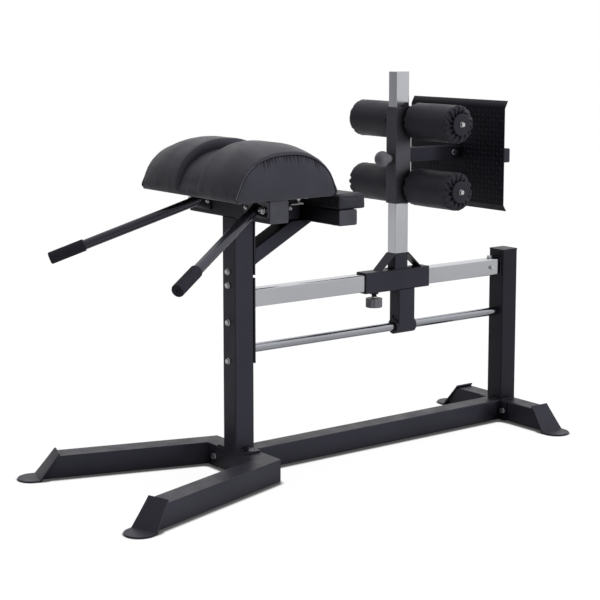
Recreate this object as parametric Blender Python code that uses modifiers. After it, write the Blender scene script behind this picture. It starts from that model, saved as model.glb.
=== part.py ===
"""Glute and ham developer: a steel frame with a hip pad, two handles and a sliding ankle carriage.

Metres, +Z up, X runs from the front legs to the foot plate. Lengths along X are written from the
front face of the front post, and the whole machine is centred on the origin at the end.
"""

import math

import bmesh
import bpy
from mathutils import Matrix, Vector

# Fits
GAP = 0.0003
SLIDE_GAP = 0.0004
WELD = 0.001

# Frame tube
FRAME_W = 0.075
FRAME_WALL = 0.003
FRAME_R = 0.005
PLATE_T = 0.006
VENT_D = 0.008

# Floor frame
FOOT_T = 0.005
REAR_FACE_X = 1.2256
CENTRE_HALF = 0.0765
SPIGOT_REACH = 0.036
LEG_SPLAY = math.radians(17.4)
LEG_INNER_Y = 0.133
LEG_TOP_LENGTH = 0.595
FOOT_SLANT = math.radians(38.4)
FOOT_RISE = 0.007
FOOT_W = 0.078
TONGUE_LENGTH = 0.072
REAR_HALF_TOP = 0.2075
FLANGE_TAB = 0.034

# Posts
SEAT_BEAM_BOTTOM = 0.8725
REAR_POST_TOP = 0.655
CAP_T = 0.005
CAP_OVERHANG = 0.001

# Bolts
BOLT_D = 0.010
BOLT_AF = 0.017
BOLT_HEAD = 0.007
WASHER_D = 0.021
WASHER_T = 0.002
FLANGE_BOLT_X = 0.045
FLANGE_BOLT_Y = 0.0565
LEG_BOLT_Y = 0.094
LEG_BOLT_Z = 0.040
REAR_BOLT_Y = 0.0565
REAR_BOLT_Z = 0.044

# Seat frame
SEAT_BEAM_HALF = 0.2325
SEAT_PLATE_DROP = 0.1687
MOUNT_PLATE_W = 0.080
SEAT_TUBE_W = 0.050
SEAT_TUBE_H = 0.062
SEAT_TUBE_WALL = 0.0025
SEAT_TUBE_NOTCH = 0.080
REAR_BEAM_X = 0.276
REAR_BEAM_DROP = 0.0268
REAR_BEAM_H = 0.0525
REAR_BEAM_HALF = 0.240
STRUT_H = 0.050
STRUT_SLOPE = math.radians(28.3)
STRUT_FOOT_DROP = 0.1357

# Pads
PAD_BAR_Y = 0.190
PAD_BAR_W = 0.040
PAD_BAR_T = 0.005
PAD_BAR_FRONT = 0.135
PAD_BAR_BACK = 0.155
PAD_CENTRE_X = 0.037
PAD_HALF_CHORD = 0.201
PAD_HALF_W = 0.280
PAD_HEIGHT = 0.177
PAD_END_DROP = 0.032
PAD_CROWN_RUN = 0.125
PAD_TUCK = 0.012
PAD_TUCK_H = 0.030
PAD_FULLNESS = 2.25
CHANNEL_HALF = 0.056
CHANNEL_SIDE = 0.019
CHANNEL_DEPTH = 0.027
BOARD_T = 0.012
BOARD_INSET = 0.030
KNEE_PAD_D = 0.114
KNEE_PAD_H = 0.053
KNEE_PAD_R = 0.012
KNEE_PAD_CROWN = 0.004
KNEE_BOARD_INSET = 0.020

# Handles
HANDLE_D = 0.034
HANDLE_WALL = 0.003
HANDLE_Y = 0.1654
HANDLE_Z = 0.9173
HANDLE_TIP = Vector((-0.453, 0.398, 0.7276))
HANDLE_PLATE_IN = 0.100
HANDLE_PLATE_OUT = 0.232
HANDLE_PLATE_H = 0.056
GRIP_D = 0.042
GRIP_LENGTH = 0.125
GRIP_END_T = 0.006
GRIP_HOLE_D = 0.006

# Rail and guide bar
RAIL_H = 0.062
RAIL_W = 0.044
RAIL_WALL = 0.0025
RAIL_Z = 0.595
RAIL_END_GAP = 0.006
RAIL_PLATE_BOTTOM = 0.378
RAIL_PLATE_TOP = 0.667
BAR_D = 0.031
BAR_WALL = 0.003
BAR_Z = 0.421
END_PLATE_T = 0.005
END_PLATE_H = 0.074
END_STUB = 0.060
RAIL_BOLT_X = 1.182
RAIL_TOP_BOLT_X = 1.200
RAIL_TOP_BOLT_Y = 0.010

# Carriage
CARRIAGE_X = 0.715
CARRIAGE_LENGTH = 0.295
SLEEVE_H = 0.075
SLEEVE_W = 0.056
SLEEVE_WALL = 0.003
LINER_LENGTH = 0.030
UPRIGHT_X = 0.735
SOCKET_H = 0.058
SPIGOT_H = 0.060
GUSSET_RUN = 0.062
GUSSET_T = 0.004
UPRIGHT_TOP = 1.3385
DROP_X = 0.7585
DROP_L = 0.075
RING_X = 0.7595
RING_LENGTH = 0.090
RING_R = 0.027
RING_WALL = 0.004
CLAMP_X = 0.626
KNOB_R = 0.030
KNOB_H = 0.032
KNOB_LOBES = 12
KNOB_LOBE_DEPTH = 0.0022
CLAMP_BOSS_D = 0.032
CLAMP_BOSS_H = 0.007
CLAMP_REACH = 0.016
SCREW_D = 0.010

# Ankle holder
ANKLE_L = 0.072
ANKLE_BOTTOM = 0.8705
ANKLE_TOP = 1.2135
SHAFT_D = 0.028
UPPER_Z = 1.162
LOWER_Z = 0.928
ROLLER_R = 0.0675
ROLLER_IN = 0.034
ROLLER_OUT = 0.272
ROLLER_EDGE_R = 0.020
ROLLER_PLEATS = 16
PLEAT_DEPTH = 0.0035
ROLLER_CAP_R = 0.038
ROLLER_CAP_T = 0.004
BALL_Z = 1.031
BALL_R = 0.0285
BALL_LENGTH = 0.060
BALL_NECK_R = 0.016
ARM_W = 0.050
ARM_WALL = 0.0025
ARM_Z = 1.0415
ARM_END_X = 0.995
ARM_BOLT_X = 0.9775
STEM_W = 0.044
STEM_START_X = 0.900
FOOT_PLATE_X = 1.0108
FOOT_PLATE_T = 0.004
FOOT_PLATE_HALF = 0.250
FOOT_PLATE_LOW = 0.863
FOOT_PLATE_HIGH = 1.209
LIP_TOP_H = 0.0265
LIP_BOTTOM_H = 0.021
LIP_RUN = 0.014
BACK_BAR_H = 0.050
BACK_BAR_D = 0.030
BACK_BAR_HALF = 0.246

# Levels and faces that follow from the sizes above
FRAME_TOP = FOOT_T + FRAME_W
FLANGE_TOP = FRAME_TOP + GAP + PLATE_T
SEAT_BEAM_TOP = SEAT_BEAM_BOTTOM + FRAME_W
REAR_BEAM_BOTTOM = SEAT_BEAM_BOTTOM - REAR_BEAM_DROP
SEAT_PLATE_BOTTOM = REAR_BEAM_BOTTOM - SEAT_PLATE_DROP
STRUT_FOOT_Z = REAR_BEAM_BOTTOM - STRUT_FOOT_DROP
PLATE_BACK = FRAME_W + GAP + PLATE_T
REAR_END_X = REAR_FACE_X + FRAME_W
PAD_BOTTOM = SEAT_BEAM_TOP + GAP + PAD_BAR_T + GAP
KNEE_PAD_BOTTOM = REAR_BEAM_BOTTOM + REAR_BEAM_H + GAP
RAIL_BOTTOM = RAIL_Z - RAIL_H / 2
END_PLATE_X = REAR_FACE_X - GAP - END_PLATE_T
RAIL_END_X = END_PLATE_X - RAIL_END_GAP
SLEEVE_TOP = RAIL_Z + SLEEVE_H / 2
SLEEVE_BOTTOM = RAIL_Z - SLEEVE_H / 2
SOCKET_TOP = SLEEVE_TOP + GAP + SOCKET_H
ANKLE_BACK = UPRIGHT_X + ANKLE_L / 2
ANKLE_FRONT = UPRIGHT_X - ANKLE_L / 2
SHAFT_X = ANKLE_BACK + SHAFT_D / 2 - WELD
UP = Vector((0, 0, 1))
ALONG = Vector((1, 0, 0))
ACROSS = Vector((0, 1, 0))

for old in list(bpy.data.objects):
    bpy.data.objects.remove(old, do_unlink=True)

PARTS = bpy.data.collections.new("glute_machine")
CUTTERS = bpy.data.collections.new("cutters")
bpy.context.scene.collection.children.link(PARTS)
bpy.context.scene.collection.children.link(CUTTERS)


def material(name, colour, roughness, metallic):
    made = bpy.data.materials.new(name)
    made.use_nodes = True
    shader = made.node_tree.nodes["Principled BSDF"]
    shader.inputs["Base Color"].default_value = (*colour, 1)
    shader.inputs["Roughness"].default_value = roughness
    shader.inputs["Metallic"].default_value = metallic
    made.diffuse_color = (*colour, 1)
    return made


BLACK_PAINT = material("black powder coat", (0.022, 0.022, 0.026), 0.45, 0.1)
CHROME = material("chrome plate", (0.72, 0.73, 0.75), 0.12, 1.0)
ZINC = material("zinc plated steel", (0.62, 0.63, 0.65), 0.3, 1.0)
VINYL = material("black vinyl", (0.03, 0.03, 0.034), 0.5, 0.0)
RUBBER = material("black rubber", (0.035, 0.035, 0.038), 0.8, 0.0)
PLASTIC = material("black plastic", (0.028, 0.028, 0.03), 0.5, 0.0)
NYLON = material("dark nylon", (0.05, 0.05, 0.055), 0.6, 0.0)
PLYWOOD = material("plywood", (0.45, 0.33, 0.2), 0.8, 0.0)


def axes(origin, x_dir, z_dir):
    """A frame whose Z runs along z_dir and whose X runs along x_dir."""
    z = Vector(z_dir).normalized()
    y = z.cross(Vector(x_dir)).normalized()
    x = y.cross(z)
    made = Matrix((x, y, z)).transposed().to_4x4()
    made.translation = Vector(origin)
    return made


def finish(obj, paint, collection=PARTS):
    obj.data.materials.clear()
    obj.data.materials.append(paint)
    collection.objects.link(obj)
    return obj


def helper(obj):
    obj.hide_render = True
    obj.display_type = "WIRE"
    CUTTERS.objects.link(obj)
    return obj


def mesh_object(name, build, matrix=None):
    """An object whose mesh is filled by build, a function that takes an empty bmesh."""
    made = bmesh.new()
    build(made)
    bmesh.ops.recalc_face_normals(made, faces=made.faces)
    mesh = bpy.data.meshes.new(name)
    made.to_mesh(mesh)
    made.free()
    obj = bpy.data.objects.new(name, mesh)
    if matrix is not None:
        obj.matrix_world = matrix
    return obj


def evaluated_mesh(obj):
    """The object's shape with its curve or modifiers worked out, as one welded mesh."""
    linked = bool(obj.users_collection)
    if not linked:
        bpy.context.scene.collection.objects.link(obj)
    bpy.context.view_layer.update()
    graph = bpy.context.evaluated_depsgraph_get()
    mesh = bpy.data.meshes.new_from_object(obj.evaluated_get(graph))
    if not linked:
        bpy.context.scene.collection.objects.unlink(obj)
    made = bmesh.new()
    made.from_mesh(mesh)
    bmesh.ops.remove_doubles(made, verts=made.verts, dist=1e-6)
    bmesh.ops.recalc_face_normals(made, faces=made.faces)
    made.to_mesh(mesh)
    made.free()
    return mesh


def outline_solid(name, outline, depth, matrix=None):
    """A flat outline in local XY, extruded by depth and centred on local Z."""
    curve = bpy.data.curves.new(name, "CURVE")
    curve.dimensions = "2D"
    curve.fill_mode = "BOTH"
    curve.extrude = depth / 2
    spline = curve.splines.new("POLY")
    spline.points.add(len(outline) - 1)
    for point, (x, y) in zip(spline.points, outline):
        point.co = (x, y, 0, 1)
    spline.use_cyclic_u = True
    drawn = bpy.data.objects.new(name, curve)
    mesh = evaluated_mesh(drawn)
    bpy.data.objects.remove(drawn)
    obj = bpy.data.objects.new(name, mesh)
    if matrix is not None:
        obj.matrix_world = matrix
    return obj


def circle(radius, steps=32, centre=(0, 0)):
    turns = [2 * math.pi * step / steps for step in range(steps)]
    return [(centre[0] + radius * math.cos(t), centre[1] + radius * math.sin(t)) for t in turns]


def bar(name, width, height, radius, start, end, x_dir):
    """A bar from start to end, whose width lies along x_dir and whose four long edges are rounded."""
    start, end = Vector(start), Vector(end)
    length = (end - start).length

    def build(made):
        bmesh.ops.create_cube(made, size=1)
        bmesh.ops.scale(made, vec=(width, height, length), verts=made.verts)
        if radius > 0:
            long_edges = [e for e in made.edges if abs(e.verts[0].co.z - e.verts[1].co.z) > length / 2]
            bmesh.ops.bevel(
                made, geom=long_edges, offset=radius, segments=3, profile=0.5, affect="EDGES",
            )

    return mesh_object(name, build, axes((start + end) / 2, x_dir, end - start))


def rod(name, diameter, start, end, steps=28):
    start, end = Vector(start), Vector(end)
    way = end - start
    aside = ACROSS if abs(way.normalized().y) < 0.9 else UP
    radius = diameter / 2

    def build(made):
        bmesh.ops.create_cone(
            made, cap_ends=True, segments=steps, radius1=radius, radius2=radius, depth=way.length
        )

    return mesh_object(name, build, axes((start + end) / 2, aside, way))


def combine(obj, other, operation):
    helper(other)
    modifier = obj.modifiers.new(operation.lower() + " " + other.name, "BOOLEAN")
    modifier.operation = operation
    modifier.solver = "EXACT"
    modifier.object = other


def cut(obj, other):
    combine(obj, other, "DIFFERENCE")


def weld(obj, other):
    combine(obj, other, "UNION")


def hole(obj, diameter, start, end, steps=16):
    cut(obj, rod(obj.name + "_bore", diameter, start, end, steps))


def hollow_bar(name, paint, width, height, wall, start, end, x_dir, closed=(False, False)):
    """A rounded box tube. An end that is closed keeps its wall there, and vents below."""
    start, end = Vector(start), Vector(end)
    way = (end - start).normalized()
    tube = finish(bar(name, width, height, FRAME_R, start, end, x_dir), paint)
    inner_start = start + way * (wall if closed[0] else -wall)
    inner_end = end - way * (wall if closed[1] else -wall)
    inner_r = max(FRAME_R - wall, 0.001)
    core = bar(
        name + "_core", width - 2 * wall, height - 2 * wall, inner_r, inner_start, inner_end, x_dir,
    )
    cut(tube, core)
    if all(closed):
        middle = start + (end - start) * 0.7
        reach = max(width, height)
        hole(tube, VENT_D, middle, middle - UP * reach, 12)
    return tube


def turned(name, profile, matrix, steps=32):
    """A solid turned about local Z. The profile is (radius, height) from the top down its outer side."""
    mesh = bpy.data.meshes.new(name)
    made = bmesh.new()
    rim = [made.verts.new((radius, 0, height)) for radius, height in profile]
    for first, second in zip(rim, rim[1:]):
        made.edges.new((first, second))
    closed_profile = profile[0][0] > 0 and profile[-1][0] > 0
    if closed_profile:
        made.edges.new((rim[-1], rim[0]))
    made.to_mesh(mesh)
    made.free()
    drawn = bpy.data.objects.new(name, mesh)
    screw = drawn.modifiers.new("turn", "SCREW")
    screw.axis = "Z"
    screw.steps = steps
    screw.render_steps = steps
    screw.use_merge_vertices = True
    screw.merge_threshold = 1e-5
    turned_mesh = evaluated_mesh(drawn)
    bpy.data.objects.remove(drawn)
    obj = bpy.data.objects.new(name, turned_mesh)
    obj.matrix_world = matrix
    return obj


def bolt(name, seat, head_dir, reach):
    """A hexagon bolt with its washer. It sits on seat, and its shank goes reach deep behind it."""
    head_dir = Vector(head_dir).normalized()
    seat = Vector(seat) + head_dir * GAP
    aside = ACROSS if abs(head_dir.y) < 0.9 else UP
    matrix = axes(seat, aside, head_dir)
    across_corners = BOLT_AF / math.cos(math.pi / 6)
    top = WASHER_T + BOLT_HEAD
    shank = [
        (0, WASHER_T + BOLT_HEAD / 2),
        (BOLT_D / 2, WASHER_T + BOLT_HEAD / 2),
        (BOLT_D / 2, WASHER_T),
        (WASHER_D / 2, WASHER_T),
        (WASHER_D / 2, 0),
        (BOLT_D / 2, 0),
        (BOLT_D / 2, -reach),
        (0, -reach),
    ]
    made = finish(turned(name, shank, matrix, 12), ZINC)
    head = outline_solid(name + "_head", circle(across_corners / 2, 6), BOLT_HEAD + WELD)
    head.matrix_world = matrix @ Matrix.Translation((0, 0, top - (BOLT_HEAD + WELD) / 2))
    weld(made, head)
    return made


def bolt_hole(obj, seat, head_dir, reach):
    """The hole that a bolt's shank goes through, from above seat to reach behind it."""
    head_dir = Vector(head_dir).normalized()
    start = Vector(seat) + head_dir * 0.02
    hole(obj, BOLT_D + 2 * SLIDE_GAP, start, Vector(seat) - head_dir * (reach + 2 * GAP))


# Feet: a bent plate that closes a tube's slanted end and reaches out on the floor
def foot_profile():
    """The plate from the side, as (reach, height) from the top edge of the tube's end."""
    slope = math.tan(FOOT_SLANT)
    normal = Vector((math.cos(FOOT_SLANT), math.sin(FOOT_SLANT)))
    top_in = Vector((-FOOT_RISE * slope, FRAME_TOP + FOOT_RISE))
    top_out = top_in + normal * FOOT_T
    heel = Vector((FRAME_W * slope, FOOT_T))
    toe_out_x = top_out.x + (top_out.y - FOOT_T) * slope
    tip_x = heel.x + TONGUE_LENGTH
    return [
        top_in - normal * WELD,
        top_out,
        (toe_out_x, FOOT_T),
        (tip_x, FOOT_T),
        (tip_x, 0),
        (heel.x - WELD, 0),
        (heel.x - WELD, FOOT_T),
    ]


def foot_plate_solid(name, origin, out_dir):
    """The bent foot at origin on the floor line under the tube's top edge, pointing along out_dir."""
    side = Vector(out_dir).cross(UP)
    matrix = axes(origin, out_dir, side)
    bent = outline_solid(name, [tuple(p) for p in foot_profile()], FOOT_W, matrix)
    tip_x = FRAME_W * math.tan(FOOT_SLANT) + TONGUE_LENGTH
    radius = FOOT_W / 2
    arc = [math.pi * step / 20 - math.pi / 2 for step in range(21)]
    plan = [(tip_x - radius + radius * math.cos(a), radius * math.sin(a)) for a in arc]
    plan += [(-0.05, radius), (-0.05, -radius)]
    trim = outline_solid(name + "_plan", plan, 0.4, axes(origin, out_dir, UP))
    combine(bent, trim, "INTERSECT")
    return bent


def slant_end(obj, out_dir, limit):
    """Pushes the lower edge of a tube's end out, so that the end leans as its foot does."""
    out_dir = Vector(out_dir).normalized()
    push = out_dir * FRAME_W * math.tan(FOOT_SLANT)
    into_world = obj.matrix_world
    back = into_world.inverted()
    for vertex in obj.data.vertices:
        place = into_world @ vertex.co
        share = (FRAME_TOP - place.z) / FRAME_W
        if place.dot(out_dir) > limit:
            vertex.co = back @ (place + push * share)


def make_leg(name, side):
    """A splayed floor leg: a short stub beside the centre block, the long tube and its foot."""
    out_dir = Vector((-math.cos(LEG_SPLAY), side * math.sin(LEG_SPLAY), 0))
    normal = Vector((math.sin(LEG_SPLAY), side * math.cos(LEG_SPLAY), 0))
    root_in = Vector((0, side * LEG_INNER_Y, 0))
    root_back = root_in - out_dir * FRAME_W / math.cos(LEG_SPLAY)
    axis_root = root_back + normal * FRAME_W / 2
    tip = axis_root + out_dir * LEG_TOP_LENGTH
    outer_back_y = root_back.y + side * FRAME_W / math.cos(LEG_SPLAY)
    inner_y = side * (CENTRE_HALF + GAP)
    middle = Vector((0, 0, FOOT_T + FRAME_W / 2))

    def plan(wall, open_by):
        grow = wall / math.cos(LEG_SPLAY)
        step_y = side * (grow - wall * math.tan(LEG_SPLAY))
        half = normal * (FRAME_W / 2 - wall)
        return [
            (wall, inner_y - side * open_by),
            (wall, root_in.y + step_y),
            tuple((tip - half).xy),
            tuple((tip + half).xy),
            (FRAME_W - wall, outer_back_y - side * (grow + wall * math.tan(LEG_SPLAY))),
            (FRAME_W - wall, inner_y - side * open_by),
        ]

    leg = outline_solid(name, plan(0, 0), FRAME_W, Matrix.Translation(middle))
    limit = tip.dot(out_dir) - 0.01
    slant_end(leg, out_dir, limit)
    finish(leg, BLACK_PAINT)
    core = outline_solid(name + "_core", plan(FRAME_WALL, WELD), FRAME_W - 2 * FRAME_WALL)
    core.matrix_world = Matrix.Translation(middle)
    slant_end(core, out_dir, limit)
    cut(leg, core)
    weld(leg, foot_plate_solid(name + "_foot", (tip.x, tip.y, 0), out_dir))
    bolt_hole(leg, (0, side * LEG_BOLT_Y, LEG_BOLT_Z), -ALONG, FRAME_WALL + WELD)
    bolt(name + "_bolt", (0, side * LEG_BOLT_Y, LEG_BOLT_Z), -ALONG, 0.022)


def make_centre_block():
    """The block between the legs. Its spigots go into the stubs of both legs."""
    middle_z = FOOT_T + FRAME_W / 2
    middle_x = FRAME_W / 2
    half = CENTRE_HALF
    block = bar(
        "front_centre_block", FRAME_W, FRAME_W, FRAME_R, (middle_x, -half, middle_z),
        (middle_x, half, middle_z), ALONG,
    )
    finish(block, BLACK_PAINT)
    size = FRAME_W - 2 * FRAME_WALL - 2 * GAP
    reach = half + SPIGOT_REACH
    spigot = bar(
        "front_spigot", size, size, 0.001, (middle_x, -reach, middle_z), (middle_x, reach, middle_z),
        ALONG,
    )
    weld(block, spigot)
    for side in (-1, 1):
        bolt_hole(block, (0, side * LEG_BOLT_Y, LEG_BOLT_Z), -ALONG, 0.022)
        bolt_hole(block, (FLANGE_BOLT_X, side * FLANGE_BOLT_Y, FLANGE_TOP), UP, 0.030)


def make_base_tube():
    """The long floor tube, with the flange that bolts it to the rear crossmember."""
    middle_z = FOOT_T + FRAME_W / 2
    start = (FRAME_W + GAP, 0, middle_z)
    end_x = REAR_FACE_X - GAP
    tube = hollow_bar(
        "base_tube", BLACK_PAINT, FRAME_W, FRAME_W, FRAME_WALL, start, (end_x, 0, middle_z), ACROSS,
    )
    width = FRAME_W + 2 * FLANGE_TAB
    flange_start = (end_x - PLATE_T, 0, middle_z)
    flange = bar("base_flange", width, FRAME_W, 0.003, flange_start, (end_x, 0, middle_z), ACROSS)
    weld(tube, flange)
    for side, word in ((-1, "right"), (1, "left")):
        seat = (end_x - PLATE_T, side * REAR_BOLT_Y, REAR_BOLT_Z)
        bolt_hole(tube, seat, -ALONG, PLATE_T + WELD)
        bolt("rear_flange_bolt_" + word, seat, -ALONG, 0.020)


def make_rear_crossmember():
    middle = (REAR_FACE_X + REAR_END_X) / 2
    middle_z = FOOT_T + FRAME_W / 2
    start = (middle, -REAR_HALF_TOP, middle_z)
    end = (middle, REAR_HALF_TOP, middle_z)
    beam = bar("rear_crossmember", FRAME_W, FRAME_W, FRAME_R, start, end, ALONG)
    for side in (-1, 1):
        slant_end(beam, ACROSS * side, REAR_HALF_TOP - 0.01)
    finish(beam, BLACK_PAINT)
    core_w = FRAME_W - 2 * FRAME_WALL
    core = bar("rear_crossmember_core", core_w, core_w, 0.002, start, end, ALONG)
    for side in (-1, 1):
        slant_end(core, ACROSS * side, REAR_HALF_TOP - 0.01)
    cut(beam, core)
    for side in (-1, 1):
        foot = foot_plate_solid("rear_foot", (middle, side * REAR_HALF_TOP, 0), ACROSS * side)
        weld(beam, foot)
        seat = (REAR_FACE_X, side * REAR_BOLT_Y, REAR_BOLT_Z)
        bolt_hole(beam, seat, -ALONG, 0.016)
    hole(beam, VENT_D, (middle, 0.1, middle_z), (middle, 0.1, -0.01), 12)


def make_front_post():
    """The front post on its flange, drilled for the four bolts of the plates behind it."""
    middle = FRAME_W / 2
    bottom = FRAME_TOP + GAP
    top = SEAT_BEAM_BOTTOM - GAP
    post = hollow_bar(
        "front_post", BLACK_PAINT, FRAME_W, FRAME_W, FRAME_WALL, (middle, 0, bottom),
        (middle, 0, top), ALONG,
    )
    flange = bar(
        "post_flange", FRAME_W - 0.002, 2 * CENTRE_HALF, 0.003, (middle, 0, bottom),
        (middle, 0, FLANGE_TOP), ALONG,
    )
    weld(post, flange)
    for side, word in ((-1, "right"), (1, "left")):
        seat = (FLANGE_BOLT_X, side * FLANGE_BOLT_Y, FLANGE_TOP)
        bolt_hole(post, seat, UP, PLATE_T + WELD)
        bolt("post_flange_bolt_" + word, seat, UP, 0.026)


def make_rear_post():
    middle = (REAR_FACE_X + REAR_END_X) / 2
    bottom = FRAME_TOP + GAP
    hollow_bar(
        "rear_post", BLACK_PAINT, FRAME_W, FRAME_W, FRAME_WALL, (middle, 0, bottom),
        (middle, 0, REAR_POST_TOP), ALONG,
    )
    size = FRAME_W + 2 * CAP_OVERHANG
    cap_bottom = REAR_POST_TOP + GAP
    cap = bar(
        "rear_post_cap", size, size, FRAME_R, (middle, 0, cap_bottom),
        (middle, 0, cap_bottom + CAP_T), ALONG,
    )
    finish(cap, PLASTIC)
    plug_size = FRAME_W - 2 * FRAME_WALL - 2 * GAP
    plug = bar(
        "cap_plug", plug_size, plug_size, 0.002, (middle, 0, cap_bottom - 0.015),
        (middle, 0, cap_bottom + WELD), ALONG,
    )
    weld(cap, plug)


def make_seat_frame():
    """The beam on the front post and the bracket behind it, which carries the rear beam."""
    middle = FRAME_W / 2
    beam_z = SEAT_BEAM_BOTTOM + FRAME_W / 2
    start = (middle, -SEAT_BEAM_HALF, beam_z)
    end = (middle, SEAT_BEAM_HALF, beam_z)
    hollow_bar("seat_beam", BLACK_PAINT, FRAME_W, FRAME_W, FRAME_WALL, start, end, ALONG, (True, True))

    plate_x = FRAME_W + GAP + PLATE_T / 2
    plate_top = REAR_BEAM_BOTTOM - GAP
    plate = bar(
        "seat_mount_plate", PLATE_T, MOUNT_PLATE_W, 0.002, (plate_x, 0, SEAT_PLATE_BOTTOM),
        (plate_x, 0, plate_top), ALONG,
    )
    finish(plate, BLACK_PAINT)

    tube_z = REAR_BEAM_BOTTOM + SEAT_TUBE_H / 2
    tube_start = (FRAME_W + GAP, 0, tube_z)
    tube_end = (REAR_BEAM_X - GAP, 0, tube_z)
    tube = hollow_bar(
        "seat_tube", BLACK_PAINT, SEAT_TUBE_W, SEAT_TUBE_H, SEAT_TUBE_WALL, tube_start, tube_end,
        ACROSS,
    )
    notch_z = SEAT_BEAM_BOTTOM - 0.1
    notch = bar(
        "seat_tube_notch", 0.2, 0.2, 0, (FRAME_W - 0.05, 0, notch_z),
        (FRAME_W + SEAT_TUBE_NOTCH, 0, notch_z), ACROSS,
    )
    cut(tube, notch)

    slope = Vector((math.cos(STRUT_SLOPE), 0, math.sin(STRUT_SLOPE)))
    low = Vector((PLATE_BACK + GAP, 0, STRUT_FOOT_Z + STRUT_H / math.cos(STRUT_SLOPE) / 2))
    reach = (REAR_BEAM_BOTTOM - low.z) / slope.z
    strut = hollow_bar(
        "seat_strut", BLACK_PAINT, FRAME_W, STRUT_H, SEAT_TUBE_WALL, low - slope * 0.06,
        low + slope * (reach + 0.06), ACROSS,
    )
    behind = bar(
        "strut_foot_trim", 0.2, 0.2, 0, (PLATE_BACK + GAP - 0.1, 0, low.z),
        (PLATE_BACK + GAP, 0, low.z), ACROSS,
    )
    above = bar(
        "strut_top_trim", 0.6, 0.2, 0, (0.3, 0, REAR_BEAM_BOTTOM - GAP),
        (0.3, 0, REAR_BEAM_BOTTOM + 0.1), ALONG,
    )
    cut(strut, behind)
    cut(strut, above)

    rear_x = REAR_BEAM_X + FRAME_W / 2
    rear_z = REAR_BEAM_BOTTOM + REAR_BEAM_H / 2
    rear_start = (rear_x, -REAR_BEAM_HALF, rear_z)
    rear_end = (rear_x, REAR_BEAM_HALF, rear_z)
    hollow_bar(
        "rear_beam", BLACK_PAINT, FRAME_W, REAR_BEAM_H, FRAME_WALL, rear_start, rear_end, ALONG,
        (True, True),
    )

    for side, word in ((-1, "right"), (1, "left")):
        bar_z = SEAT_BEAM_TOP + GAP + PAD_BAR_T / 2
        front = (PAD_CENTRE_X - PAD_BAR_FRONT, side * PAD_BAR_Y, bar_z)
        back = (PAD_CENTRE_X + PAD_BAR_BACK, side * PAD_BAR_Y, bar_z)
        finish(bar("pad_bar_" + word, PAD_BAR_W, PAD_BAR_T, 0.001, front, back, ACROSS), BLACK_PAINT)


def smooth(value):
    value = min(max(value, 0.0), 1.0)
    return value * value * (3 - 2 * value)


def pad_drop(y):
    """How far the hip pad's skin lies inside its fullest arch at this distance from its middle."""
    away = abs(y)
    channel = CHANNEL_DEPTH * (1 - smooth((away - CHANNEL_HALF) / CHANNEL_SIDE))
    edge = max(away - PAD_HALF_W + PAD_CROWN_RUN, 0) / PAD_CROWN_RUN
    return channel + PAD_END_DROP * edge ** 2


def pad_section(y, count):
    """The pad's arch at y, from its rear edge over the top to its front edge, as (x, z)."""
    drop = pad_drop(y)
    points = []
    for step in range(count + 1):
        turn = math.pi * step / count
        power = 2 / PAD_FULLNESS
        along = math.copysign(abs(math.cos(turn)) ** power, math.cos(turn))
        height = math.sin(turn) ** power
        tuck = PAD_TUCK * (1 - smooth(height * PAD_HEIGHT / PAD_TUCK_H))
        fade = smooth(height * 3)
        chord = PAD_HALF_CHORD - tuck - drop * fade * 0.35
        points.append((along * chord, height * (PAD_HEIGHT - drop)))
    return points


def make_hip_pad():
    """The arched hip pad: two crowned halves, a channel between them and a board below."""
    inside = [CHANNEL_HALF, CHANNEL_HALF + CHANNEL_SIDE * 0.5, CHANNEL_HALF + CHANNEL_SIDE]
    outer_start = PAD_HALF_W - PAD_CROWN_RUN
    outside = [outer_start + PAD_CROWN_RUN * share for share in (0, 0.35, 0.6, 0.8, 0.92, 1)]
    half = [CHANNEL_HALF * 0.45] + inside + [(inside[-1] + outer_start) / 2] + outside
    stations = [-y for y in reversed(half)] + half
    count = 30

    def build(made):
        rows = []
        for y in stations:
            rows.append([made.verts.new((x, y, z)) for x, z in pad_section(y, count)])
        for first, second in zip(rows, rows[1:]):
            for step in range(count):
                made.faces.new((first[step], first[step + 1], second[step + 1], second[step]))
            made.faces.new((first[count], first[0], second[0], second[count]))
        made.faces.new(rows[0])
        made.faces.new(rows[-1])

    place = Matrix.Translation((PAD_CENTRE_X, 0, PAD_BOTTOM))
    pad = finish(mesh_object("hip_pad", build, place), VINYL)
    make_board(
        "hip_pad_board", pad, PAD_CENTRE_X, PAD_BOTTOM, PAD_HALF_CHORD - BOARD_INSET,
        PAD_HALF_W - BOARD_INSET,
    )


def make_board(name, pad, x, bottom, half_x, half_y):
    """The plywood board let into a pad's underside."""
    low = (x, 0, bottom)
    high = (x, 0, bottom + BOARD_T)
    board = finish(bar(name, 2 * half_x, 2 * half_y, 0.010, low, high, ALONG), PLYWOOD)
    pocket_low = (x, 0, bottom - 0.01)
    pocket_high = (x, 0, bottom + BOARD_T + GAP)
    width = 2 * (half_x + GAP)
    depth = 2 * (half_y + GAP)
    cut(pad, bar(name + "_pocket", width, depth, 0.010 + GAP, pocket_low, pocket_high, ALONG))
    return board


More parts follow.
